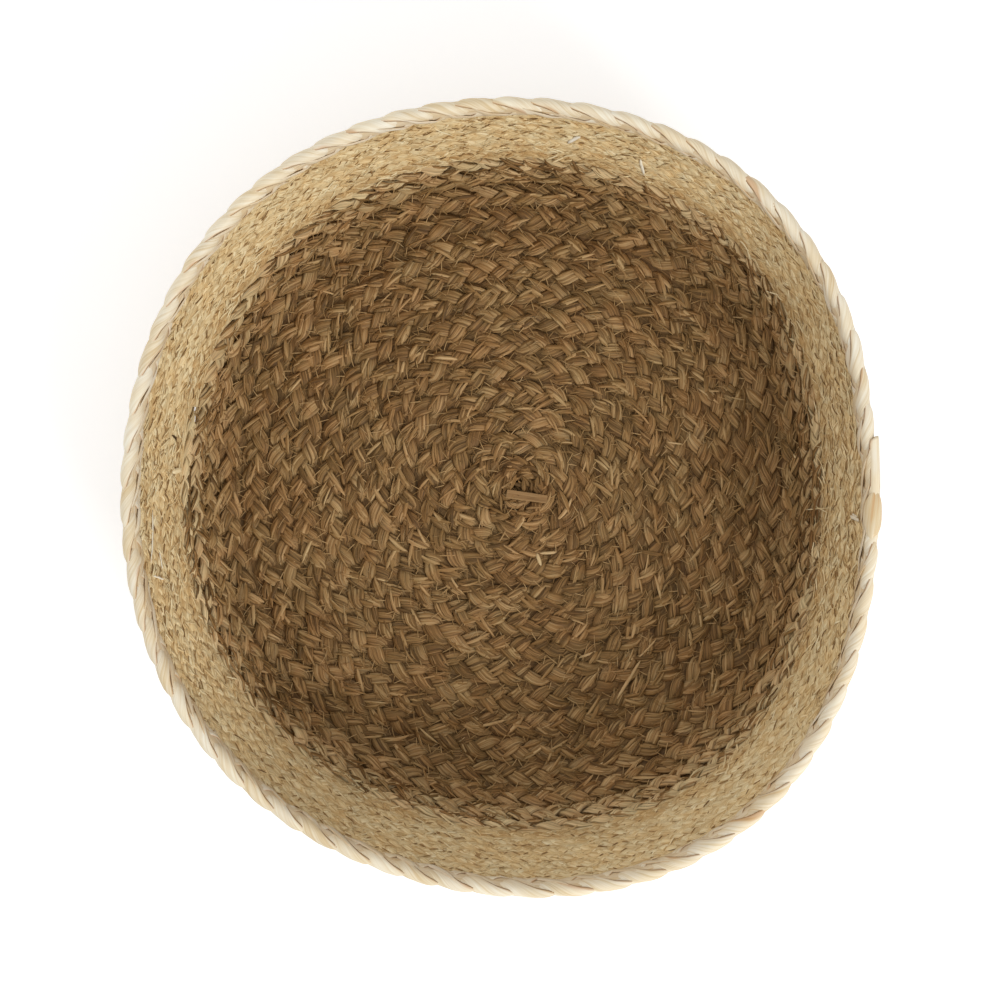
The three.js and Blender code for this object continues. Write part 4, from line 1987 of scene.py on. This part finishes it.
@dataclass
class LooseFibres:
    """Stray fibres and strips that lie over the plaits.

    Attributes:
        skin: The basket's middle surface.
        surface: Faces that they lie on.
        eye: Distance along the section inside which none lie.
        border: Distance along the section at which brown gives way to pale.
        lean: Usual angle to the rows, in degrees.
        spread: How much it varies.
        bow: How much a fibre bows, as a share of its length.
        thickness: Greatest half thickness.
        FINE: Thin fibres.
        BROAD: Strips.
        FLECK: Short brown strips on the pale rows.
        seed: Seed of their places.
    """

    skin: BasketSkin
    surface: Surface
    eye: float = 7 * MM
    border: float = 133 * MM
    lean: float = 30
    spread: float = 32
    bow: float = 0.04
    thickness: float = 0.16 * MM
    seed: int = 77

    FINE = Kind(0.13 * MM, (3 * MM, 8 * MM), 3)
    BROAD = Kind(0.5 * MM, (5 * MM, 10 * MM), 4)
    FLECK = Kind(0.35 * MM, (1.5 * MM, 4 * MM), 4)

    def build(self, brown: bpy.types.Material, pale: bpy.types.Material) -> None:
        """Scatter fibres and strips over all the rows, and brown flecks over the pale ones.

        Args:
            brown: Material of those on the brown rows and of the flecks.
            pale: Material of those on the pale rows.
        """
        end = self.skin.winding.rim_bottom() - 1 * MM
        for name, material, finish, zone, fine, broad in (
            ("brown_loose_fibres", brown, Finish.BROWN, (self.eye, self.border), 1300, 60),
            ("pale_loose_fibres", pale, Finish.PALE, (self.border + 8 * MM, end), 420, 40),
        ):
            heap = Heap()
            self.scatter(heap, zone, fine, self.FINE)
            self.scatter(heap, zone, broad, self.BROAD)
            dress(heap.build(name), material, finish)
        heap = Heap()
        self.scatter(heap, (self.border + 2 * MM, end - 5 * MM), 120, self.FLECK)
        dress(heap.build("wall_flecks"), brown, Finish.BROWN)

    def scatter(self, heap: Heap, zone: tuple[float, float], count: int, kind: Kind) -> None:
        """Lay fibres at seeded places.

        Args:
            heap: Mesh that takes them.
            zone: Where they lie along the section.
            count: How many there are.
            kind: Their kind.
        """
        rng = np.random.default_rng(self.seed + count)
        s0 = np.sqrt(rng.uniform(zone[0] ** 2, zone[1] ** 2, count))
        angle0 = rng.uniform(0, 2 * np.pi, count)
        lean = np.radians(rng.choice([-self.lean, self.lean], count) + rng.normal(0, self.spread, count))
        length = rng.uniform(*kind.lengths, count)
        bow = rng.normal(0, self.bow, count) * length
        part = np.linspace(-1, 1, 6)[None, :]
        along = length[:, None] / 2 * part
        aside = bow[:, None] * (1 - part**2)
        u = along * np.cos(lean)[:, None] - aside * np.sin(lean)[:, None]
        v = along * np.sin(lean)[:, None] + aside * np.cos(lean)[:, None]
        radius, _ = self.skin.section(s0, np.zeros_like(s0))
        s = np.clip(s0[:, None] + v, 4 * MM, self.skin.winding.rim_bottom())
        angle = angle0[:, None] + u / radius[:, None]
        half = kind.half_width * rng.uniform(0.7, 1.3, count)[:, None] * (1 - 0.75 * part**4)
        loose = rng.uniform(-0.35, 0.7, count) * MM
        tucked = rng.uniform(-0.6, 0.1, count) * MM
        thick = min(kind.half_width, self.thickness)
        rings = self.surface.lay(s, angle, half, thick, kind.sides, (loose, tucked))
        add_slim(heap, rings, rng.uniform(-0.4, 1.6, count), kind.half_width, rng)


@dataclass(frozen=True)
class Studio:
    """Floor, light and camera of the photograph.

    Attributes:
        skin: The basket's middle surface, for its axis.
        view_height: Height of the camera over the base's upper side.
        view_x: Camera to +X of the basket's axis.
        view_y: Camera to +Y of the basket's axis.
        aim_x: Point of the base in the middle of the picture, from the axis.
        aim_y: Point of the base in the middle of the picture, from the axis.
        scale: Picture widths per metre at the base.
        daylight: Strength of the light from all round.
        sensor: Width of the camera's sensor, in millimetres.
        floor_size: Side of the floor, in metres.
        floor_grey: Lightness and roughness of the floor.
        floor_sheen: Strength of the light that it mirrors.
        floor_depth: Depth of the floor's surface under the basket.
        floor_glow: Strength of the white that the camera alone sees on the floor.
        PICTURE: Width of the photograph, in pixels.
        LAMPS: Name, place, size and power of each lamp.
    """

    skin: BasketSkin
    view_height: float = 850 * MM
    view_x: float = 21 * MM
    view_y: float = 37.5 * MM
    aim_x: float = -4.0 * MM
    aim_y: float = -4.4 * MM
    scale: float = 2.5
    daylight: float = 0.7
    sensor: float = 36.0
    floor_size: float = 6.0
    floor_grey: float = 0.9
    floor_sheen: float = 0.1
    floor_depth: float = 0.2 * MM
    floor_glow: float = 0.35

    PICTURE = 1000
    LAMPS = (("key", (1.0, -1.25, 1.1), 0.8, 19.0), ("low_fill", (-1.3, 1.0, 0.55), 0.8, 6.0))

    def build(self) -> None:
        """Make the camera, the floor and the lamps."""
        self.camera()
        self.floor()
        self.light()

    def pose(self) -> tuple[Vector, Matrix, float]:
        """Pose of the camera.

        Returns:
            Its place, its turn and its distance to the base in picture widths.
        """
        skin = self.skin
        base_top = 2 * skin.middle_height
        place = Vector((skin.axis_x + self.view_x, skin.axis_y + self.view_y, base_top + self.view_height))
        aim = Vector((skin.axis_x + self.aim_x, skin.axis_y + self.aim_y, base_top))
        back = (place - aim).normalized()
        right = Vector((0.0, 1.0, 0.0)).cross(back).normalized()
        turn = Matrix((right, back.cross(right), back)).transposed()
        return place, turn, self.scale * (place - aim).length

    def ray(self, x: float, y: float) -> tuple[Vector, Vector]:
        """Ray of the camera through a point of the photograph.

        Args:
            x: Pixels from its left.
            y: Pixels from its top.

        Returns:
            The ray's start and direction.
        """
        place, turn, widths = self.pose()
        right, up = x / self.PICTURE - 0.5, 0.5 - y / self.PICTURE
        return place, (turn @ Vector((right, up, -widths))).normalized()

    def camera(self) -> None:
        """Camera nearly overhead, as in the photograph."""
        place, turn, widths = self.pose()
        data = bpy.data.cameras.new("camera")
        data.sensor_width = self.sensor
        data.lens = widths * data.sensor_width
        data.clip_end = 50.0
        camera = bpy.data.objects.new("camera", data)
        camera.location = place
        camera.rotation_euler = turn.to_euler()
        bpy.context.scene.collection.objects.link(camera)
        bpy.context.scene.camera = camera

    def floor(self) -> None:
        """Plain white floor that shows white to the camera and keeps a soft shadow under the basket, partly
        real and partly painted by the fading glow.
        """
        bpy.ops.mesh.primitive_plane_add(size=self.floor_size, location=(0, 0, -self.floor_depth))
        floor = bpy.context.object
        floor.name = "floor"
        material = bpy.data.materials.new("floor")
        material.use_nodes = True
        tree = material.node_tree
        seen = node(tree, "LightPath").outputs["Is Camera Ray"]
        place = node(tree, "TexCoord").outputs["Object"]
        away = node(tree, "VectorMath", {0: place}, operation="LENGTH").outputs["Value"]
        # The camera-only glow fades out from the base's edge to the rim's radius, so the floor there shows
        # its real shade; the fade also paints a soft shadow ring.
        clear = node(tree, "MapRange", {
            "From Min": self.skin.base_radius,
            "From Max": self.skin.rim_radius,
            "Value": away,
        }, interpolation_type="SMOOTHSTEP")
        glow = math_node(tree, "MULTIPLY", seen, self.floor_glow)
        glow = math_node(tree, "MULTIPLY", glow, clear.outputs["Result"])
        feed(tree, tree.nodes["Principled BSDF"], {
            "Base Color": (self.floor_grey, self.floor_grey, self.floor_grey, 1.0),
            "Roughness": self.floor_grey,
            "Specular IOR Level": self.floor_sheen,
            "Emission Color": (1.0, 1.0, 1.0, 1.0),
            "Emission Strength": glow,
        })
        floor.data.materials.append(material)

    def light(self) -> None:
        """Soft daylight from all round, a large lamp at the lower right and a weak one at the left."""
        world = bpy.data.worlds.new("studio")
        bpy.context.scene.world = world
        world.use_nodes = True
        tree = world.node_tree
        paths = node(tree, "LightPath").outputs
        seen = math_node(tree, "ADD", paths["Is Camera Ray"], paths["Is Glossy Ray"])
        seen = math_node(tree, "ADD", seen, paths["Is Transmission Ray"])
        seen = math_node(tree, "MINIMUM", seen, 1.0)
        strength = math_node(tree, "MULTIPLY_ADD", seen, 1.0 - self.daylight, self.daylight)
        feed(tree, tree.nodes["Background"], {"Color": (1.0, 1.0, 1.0, 1.0), "Strength": strength})
        for name, place, size, power in self.LAMPS:
            data = bpy.data.lights.new(name, "AREA")
            data.size = size
            data.energy = power
            lamp = bpy.data.objects.new(name, data)
            lamp.location = place
            lamp.rotation_euler = (-Vector(place)).to_track_quat("-Z", "Y").to_euler()
            bpy.context.scene.collection.objects.link(lamp)


@dataclass
class ArmStrips:
    """Strips that have come away from the arms of a plait and lie on them, one end loose.

    Attributes:
        surface: Faces that they lie on.
        stray: How much a strip's direction strays from its arm's, in radians.
        slip: How far it slips along the arm.
        aside: How far from the arm's middle it lies, as a share of the arm's width.
        bow: How far it bows aside.
        half_thick: Half its thickness.
        points: Points along it.
        seed: Seed of the irregularities.
    """

    surface: Surface
    stray: float = 0.2
    slip: float = 0.8 * MM
    aside: float = 0.36
    bow: float = 0.12 * MM
    half_thick: float = 0.17 * MM
    points: int = 7
    seed: int = 61

    def build(
        self,
        name: str,
        strands: list[PlaitedStrand],
        share: float,
        lengths: tuple[float, float],
        half_width: float,
        material: bpy.types.Material,
        finish: Finish,
    ) -> None:
        """Lay the strips of one plait.

        Args:
            name: Name of the piece.
            strands: Strands of the plait.
            share: Strips for each arm.
            lengths: Shortest and longest.
            half_width: Usual half width.
            material: Their material.
            finish: Their finish.
        """
        rng = np.random.default_rng(self.seed)
        heap = Heap()
        part = np.linspace(-1, 1, self.points)[None, :]
        for strand in strands:
            arms = strand.arms()
            along = rng.choice(arms, int(share * len(arms)))
            count = len(along)
            step = 0.5 * MM
            middle = strand.middle(along)
            run = strand.middle(along + step) - strand.middle(along - step)
            lean = np.arctan2(run[:, 1], run[:, 0]) + rng.normal(0, self.stray, count)
            u = rng.uniform(*lengths, count)[:, None] / 2 * part + rng.normal(0, self.slip, (count, 1))
            v = rng.uniform(-self.aside, self.aside, (count, 1)) * strand.style.width
            v = v + self.bow * (1 - part**2)
            own_along = middle[:, 0, None] + u * np.cos(lean)[:, None] - v * np.sin(lean)[:, None]
            own_across = middle[:, 1, None] + u * np.sin(lean)[:, None] + v * np.cos(lean)[:, None]
            s, angle = strand.course.section_place(own_along, own_across)
            half = half_width * rng.uniform(0.55, 1.35, (count, 1)) * (1 - 0.8 * np.abs(part) ** 3)
            loose = rng.uniform(-0.5, 0.7, count) * MM
            tucked = rng.uniform(-0.8, 0.0, count) * MM
            rings = self.surface.lay(s, angle, half, self.half_thick, 4, (loose, tucked))
            add_slim(heap, rings, rng.uniform(-1.2, 1.0, count), half_width, rng)
        dress(heap.build(name), material, finish)


@dataclass
class CentreLeaves:
    """Pointed leaves crowded round the eye of the base, where the plait starts.

    Attributes:
        skin: The basket's middle surface.
        flat: How many lie flat and close the eye.
        standing: How many stand round it.
        step: Angle from one leaf to the next, in radians.
        bow: How much a leaf bows aside, as a share of its length.
        arch: How high its middle arches.
        flat_radii: Least and greatest distance of a flat leaf from the eye.
        radii: The same for a standing leaf.
        flat_lengths: Shortest and longest flat leaf.
        lengths: Shortest and longest standing leaf.
        half_widths: Narrowest and widest leaf, halved.
        layer: Height of the first flat leaf, and how much higher each next one lies.
        feet: Lowest and highest foot of a standing leaf.
        flat_climb: How much a flat leaf rises to its tip.
        climbs: Least and greatest rise of a standing leaf.
        tones: Darkest and lightest tone.
        ACROSS: Places across a leaf of the points of its section.
        OUT: How far they stand out of its middle surface.
        seed: Seed of the irregularities.
    """

    skin: BasketSkin
    flat: int = 9
    standing: int = 58
    step: float = 2.4
    bow: float = 0.015
    arch: float = 0.5 * MM
    flat_radii: tuple[float, float] = (0.0, 1.6 * MM)
    radii: tuple[float, float] = (1.5 * MM, 13.0 * MM)
    flat_lengths: tuple[float, float] = (7 * MM, 10 * MM)
    lengths: tuple[float, float] = (4.5 * MM, 8 * MM)
    half_widths: tuple[float, float] = (0.6 * MM, 1.2 * MM)
    layer: tuple[float, float] = (0.7 * MM, 0.25 * MM)
    feet: tuple[float, float] = (2.8 * MM, 4.2 * MM)
    flat_climb: float = 0.3 * MM
    climbs: tuple[float, float] = (0.3 * MM, 2.0 * MM)
    tones: tuple[float, float] = (-1.4, 0.8)
    seed: int = 91

    ACROSS = (-1.0, -0.45, 0.45, 1.0, 0.0)
    OUT = (0.0, 0.3 * MM, 0.3 * MM, 0.0, -0.2 * MM)

    def build(self, material: bpy.types.Material) -> None:
        """Build the leaves that close the eye and those that stand round it.

        Args:
            material: Their material.
        """
        rng = np.random.default_rng(self.seed)
        count = self.flat + self.standing
        lying = np.arange(count) < self.flat
        around = self.step * np.arange(count)
        radius = np.where(lying, rng.uniform(*self.flat_radii, count), rng.uniform(*self.radii, count))
        heading = around + np.pi / 2 + rng.normal(0, 0.5, count)
        length = np.where(lying, rng.uniform(*self.flat_lengths, count), rng.uniform(*self.lengths, count))
        half_width = rng.uniform(*self.half_widths, count)
        first, step = self.layer
        low = np.where(lying, first + step * np.arange(count), rng.uniform(*self.feet, count))
        climb = np.where(lying, self.flat_climb, rng.uniform(*self.climbs, count))
        part = np.linspace(-1, 1, 8)
        u = length[:, None] / 2 * part
        v = self.bow * length[:, None] * (1 - part**2)
        x = self.skin.axis_x + self.skin.eye_shift + (radius * np.cos(around))[:, None]
        y = self.skin.axis_y + (radius * np.sin(around))[:, None]
        x = x + u * np.cos(heading)[:, None] - v * np.sin(heading)[:, None]
        y = y + u * np.sin(heading)[:, None] + v * np.cos(heading)[:, None]
        z = low[:, None] + climb[:, None] * ((part + 1) / 2) ** 2 + self.arch * (1 - part**2)
        middle = np.stack([x, y, z], axis=-1)
        run = unit(np.gradient(middle, axis=1))
        side = unit(np.cross(run, np.array([0.0, 0.0, 1.0])))
        up = np.cross(side, run)
        half = half_width[:, None] * (1 - 0.88 * np.abs(part) ** 2.2)
        across = half[..., None] * np.array(self.ACROSS)
        rings = middle[:, :, None] + across[..., None] * side[:, :, None]
        rings = press_down(rings + np.array(self.OUT)[:, None] * up[:, :, None])
        heap = Heap()
        add_slim(heap, rings, rng.uniform(*self.tones, count), self.half_widths[1], rng)
        dress(heap.build("brown_centre_leaves"), material, Finish.BROWN)


@dataclass(frozen=True)
class Bit:
    """A loose strip seen at one place of the photograph.

    Attributes:
        start: Picture point of its start.
        end: Picture point of its end.
        half_width: Half its width.
        tone: Its tone.
        finish: Its finish.
        stand: How far its end stands out.
    """

    start: tuple[float, float]
    end: tuple[float, float]
    half_width: float
    tone: float
    finish: Finish
    stand: float = 0.2 * MM


class Bits:
    """Loose strips that are told apart in the photograph.

    Attributes:
        SEEN: The strips.
        NAMES: Name of the piece that holds the strips of a finish.
        HALF_THICK: Half the thickness of a strip.
        SEED: Seed of the places in their texture.
    """

    SEEN = (
        Bit((568, 142), (581, 133), 1.1 * MM, 2.4, Finish.HUSK, 0.7 * MM),
        Bit((641, 158), (645, 172), 0.9 * MM, 2.0, Finish.HUSK),
        Bit((152, 576), (161, 580), 0.55 * MM, 2.2, Finish.HUSK, 0.6 * MM),
        Bit((151, 510), (149, 563), 0.5 * MM, 1.2, Finish.HUSK),
        Bit((157, 552), (160, 569), 0.4 * MM, 1.4, Finish.HUSK),
        Bit((853, 516), (863, 521), 1.0 * MM, 1.0, Finish.HUSK, 0.7 * MM),
        Bit((854, 514), (861, 517), 0.5 * MM, 1.0, Finish.HUSK, 0.6 * MM),
        Bit((811, 510), (832, 508), 0.25 * MM, 0.6, Finish.PALE),
        Bit((816, 503), (830, 513), 0.25 * MM, 0.8, Finish.PALE),
        Bit((170, 472), (180, 469), 1.5 * MM, 1.4, Finish.PALE),
        Bit((178, 482), (173, 496), 0.7 * MM, 1.0, Finish.PALE),
        Bit((171, 435), (176, 441), 0.6 * MM, -3.0, Finish.BROWN),
        Bit((791, 452), (799, 457), 0.9 * MM, 3.0, Finish.BROWN),
        Bit((467, 876), (490, 884), 0.4 * MM, 0.6, Finish.HUSK),
        Bit((488, 878), (512, 882), 0.35 * MM, 1.0, Finish.HUSK),
        Bit((500, 165), (530, 176), 0.5 * MM, 1.6, Finish.BROWN),
        Bit((537, 553), (541, 565), 1.0 * MM, 2.4, Finish.BROWN, 0.6 * MM),
        Bit((540, 553), (558, 552), 0.8 * MM, 2.2, Finish.BROWN),
        Bit((617, 698), (640, 660), 0.9 * MM, 1.8, Finish.BROWN, 0.6 * MM),
        Bit((209, 515), (221, 492), 1.2 * MM, 1.4, Finish.BROWN, 0.4 * MM),
    )
    NAMES = {Finish.HUSK: "husk_bits", Finish.PALE: "pale_bits", Finish.BROWN: "brown_bits"}
    HALF_THICK = 0.18 * MM
    SEED = 71

    def __init__(
        self, surface: Surface, studio: Studio, materials: dict[Finish, bpy.types.Material]
    ) -> None:
        """Take what is needed to lay the strips.

        Args:
            surface: Faces that they lie on.
            studio: The camera, which tells where a picture point lies.
            materials: Material of each finish.
        """
        self.surface = surface
        self.studio = studio
        self.materials = materials

    def build(self) -> None:
        """Build one piece for each finish."""
        rng = np.random.default_rng(self.SEED)
        part = np.linspace(0, 1, 9)[:, None]
        narrowing = 1 - 0.75 * np.abs(2 * part[:, 0] - 1) ** 4
        for finish, name in self.NAMES.items():
            heap = Heap()
            for bit in (bit for bit in self.SEEN if bit.finish is finish):
                dots = np.array(bit.start) * (1 - part) + np.array(bit.end) * part
                s, angle = np.transpose([self.surface.skin.meet(*self.studio.ray(x, y)) for x, y in dots])
                half = (bit.half_width * narrowing)[None]
                stand = np.array([bit.stand])
                rings = self.surface.lay(s[None], angle[None], half, self.HALF_THICK, 4, (0 * stand, stand))
                add_slim(heap, rings, np.array([bit.tone]), bit.half_width, rng)
            dress(heap.build(name), self.materials[finish], finish)


@dataclass
class CentreStrip:
    """The flat strip end over the eye of the base, cut square.

    Attributes:
        length: Its length.
        width: Its width.
        thickness: Its thickness.
        turn: Its turn from the X axis.
        cuts: Cuts across and along it, at which it bends.
        wave: How much it waves up and down, as a share of its thickness.
        curl: How much its sides stand up, as a share of its thickness.
        edge: Radius of its edges.
        seed: Seed of its bends.
    """

    length: float = 16.4 * MM
    width: float = 3.5 * MM
    thickness: float = 0.7 * MM
    turn: float = math.radians(-8)
    cuts: int = 7
    wave: float = 0.45
    curl: float = 0.25
    edge: float = 0.12 * MM
    seed: int = 5

    def build(self, material: bpy.types.Material) -> None:
        """Build the strip from a cut block with bends and uneven sides.

        Args:
            material: Its material.
        """
        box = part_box("centre_strip")
        middle = [(a + b) / 2 for a, b in zip(*box)]
        bpy.ops.mesh.primitive_cube_add(size=1.0, location=middle)
        piece = bpy.context.object
        piece.name = "centre_strip_end"
        piece.scale = (self.length, self.width, self.thickness)
        piece.rotation_euler = (0.0, 0.0, self.turn)
        bpy.ops.object.mode_set(mode="EDIT")
        bpy.ops.mesh.select_all(action="SELECT")
        bpy.ops.mesh.subdivide(number_cuts=self.cuts)
        bpy.ops.object.mode_set(mode="OBJECT")
        bends = Drift(np.random.default_rng(self.seed), 2.0, 0.31)
        for vertex in piece.data.vertices:
            x, y, _ = vertex.co
            at = np.asarray(x + 0.5)
            vertex.co.z += self.wave * float(bends.at(at)) + self.curl * (2 * y) ** 2
            vertex.co.y *= 1 + 0.12 * float(bends.at(at + 0.7)) + 0.25 * max(-x - 0.2, 0.0)
        bevel = piece.modifiers.new("round", "BEVEL")
        bevel.width = self.edge
        bevel.segments = 2
        bpy.ops.object.modifier_apply(modifier=bevel.name)
        bpy.ops.object.transform_apply(location=True, rotation=True, scale=True)
        self.unwrap(piece, middle)
        bpy.ops.object.shade_smooth_by_angle(angle=math.radians(40))
        dress(piece, material, Finish.STRIP, "centre_strip")

    def unwrap(self, piece: bpy.types.Object, middle: Sequence[float]) -> None:
        """Lay the fibre's texture along the strip.

        Args:
            piece: The strip.
            middle: Its middle.
        """
        mesh = piece.data
        for layer in list(mesh.uv_layers):
            mesh.uv_layers.remove(layer)
        layer = mesh.uv_layers.new(name=FIBRE_MAP)
        turned = Matrix.Rotation(-self.turn, 3, "Z")
        for loop in mesh.loops:
            own = turned @ (mesh.vertices[loop.vertex_index].co - Vector(middle))
            layer.data[loop.index].uv = (own.x + 0.5, own.y + 0.5 * own.z)


def main() -> None:
    """Build the studio and the basket, piece by piece."""
    logging.basicConfig(level=logging.INFO, format="%(message)s")
    bpy.context.scene.view_settings.view_transform = "Standard"
    bpy.ops.object.select_all(action="DESELECT")
    skin = BasketSkin()
    studio = Studio(skin)
    studio.build()
    bpy.ops.object.select_all(action="DESELECT")
    brown = BROWN_FIBRE.material()
    pale = PALE_FIBRE.material()
    husk = HUSK.material()
    brown_strands, pieces = BrownPlait(skin).build(brown)
    pale_strands, pale_pieces = PalePlait(skin).build(pale)
    pieces += pale_pieces
    rim = RimPlait(skin)
    pieces += rim.build(husk)
    JointFibres(skin).build(brown, pale)
    surface = Surface(skin, pieces)
    RimTips(rim, surface).build(husk)
    Stitching(skin, surface).build(THREAD.material())
    arms = ArmStrips(surface)
    arms.build("brown_arm_strips", brown_strands, 1.7, (6 * MM, 12 * MM), 0.9 * MM, brown, Finish.BROWN)
    arms.build("pale_arm_strips", pale_strands, 0.8, (3.5 * MM, 7 * MM), 0.5 * MM, pale, Finish.PALE)
    LooseFibres(skin, surface).build(brown, pale)
    Bits(surface, studio, {Finish.BROWN: brown, Finish.PALE: pale, Finish.HUSK: husk}).build()
    CentreLeaves(skin).build(brown)
    CentreStrip().build(STRIP.material())


if __name__ == "__main__":
    main()
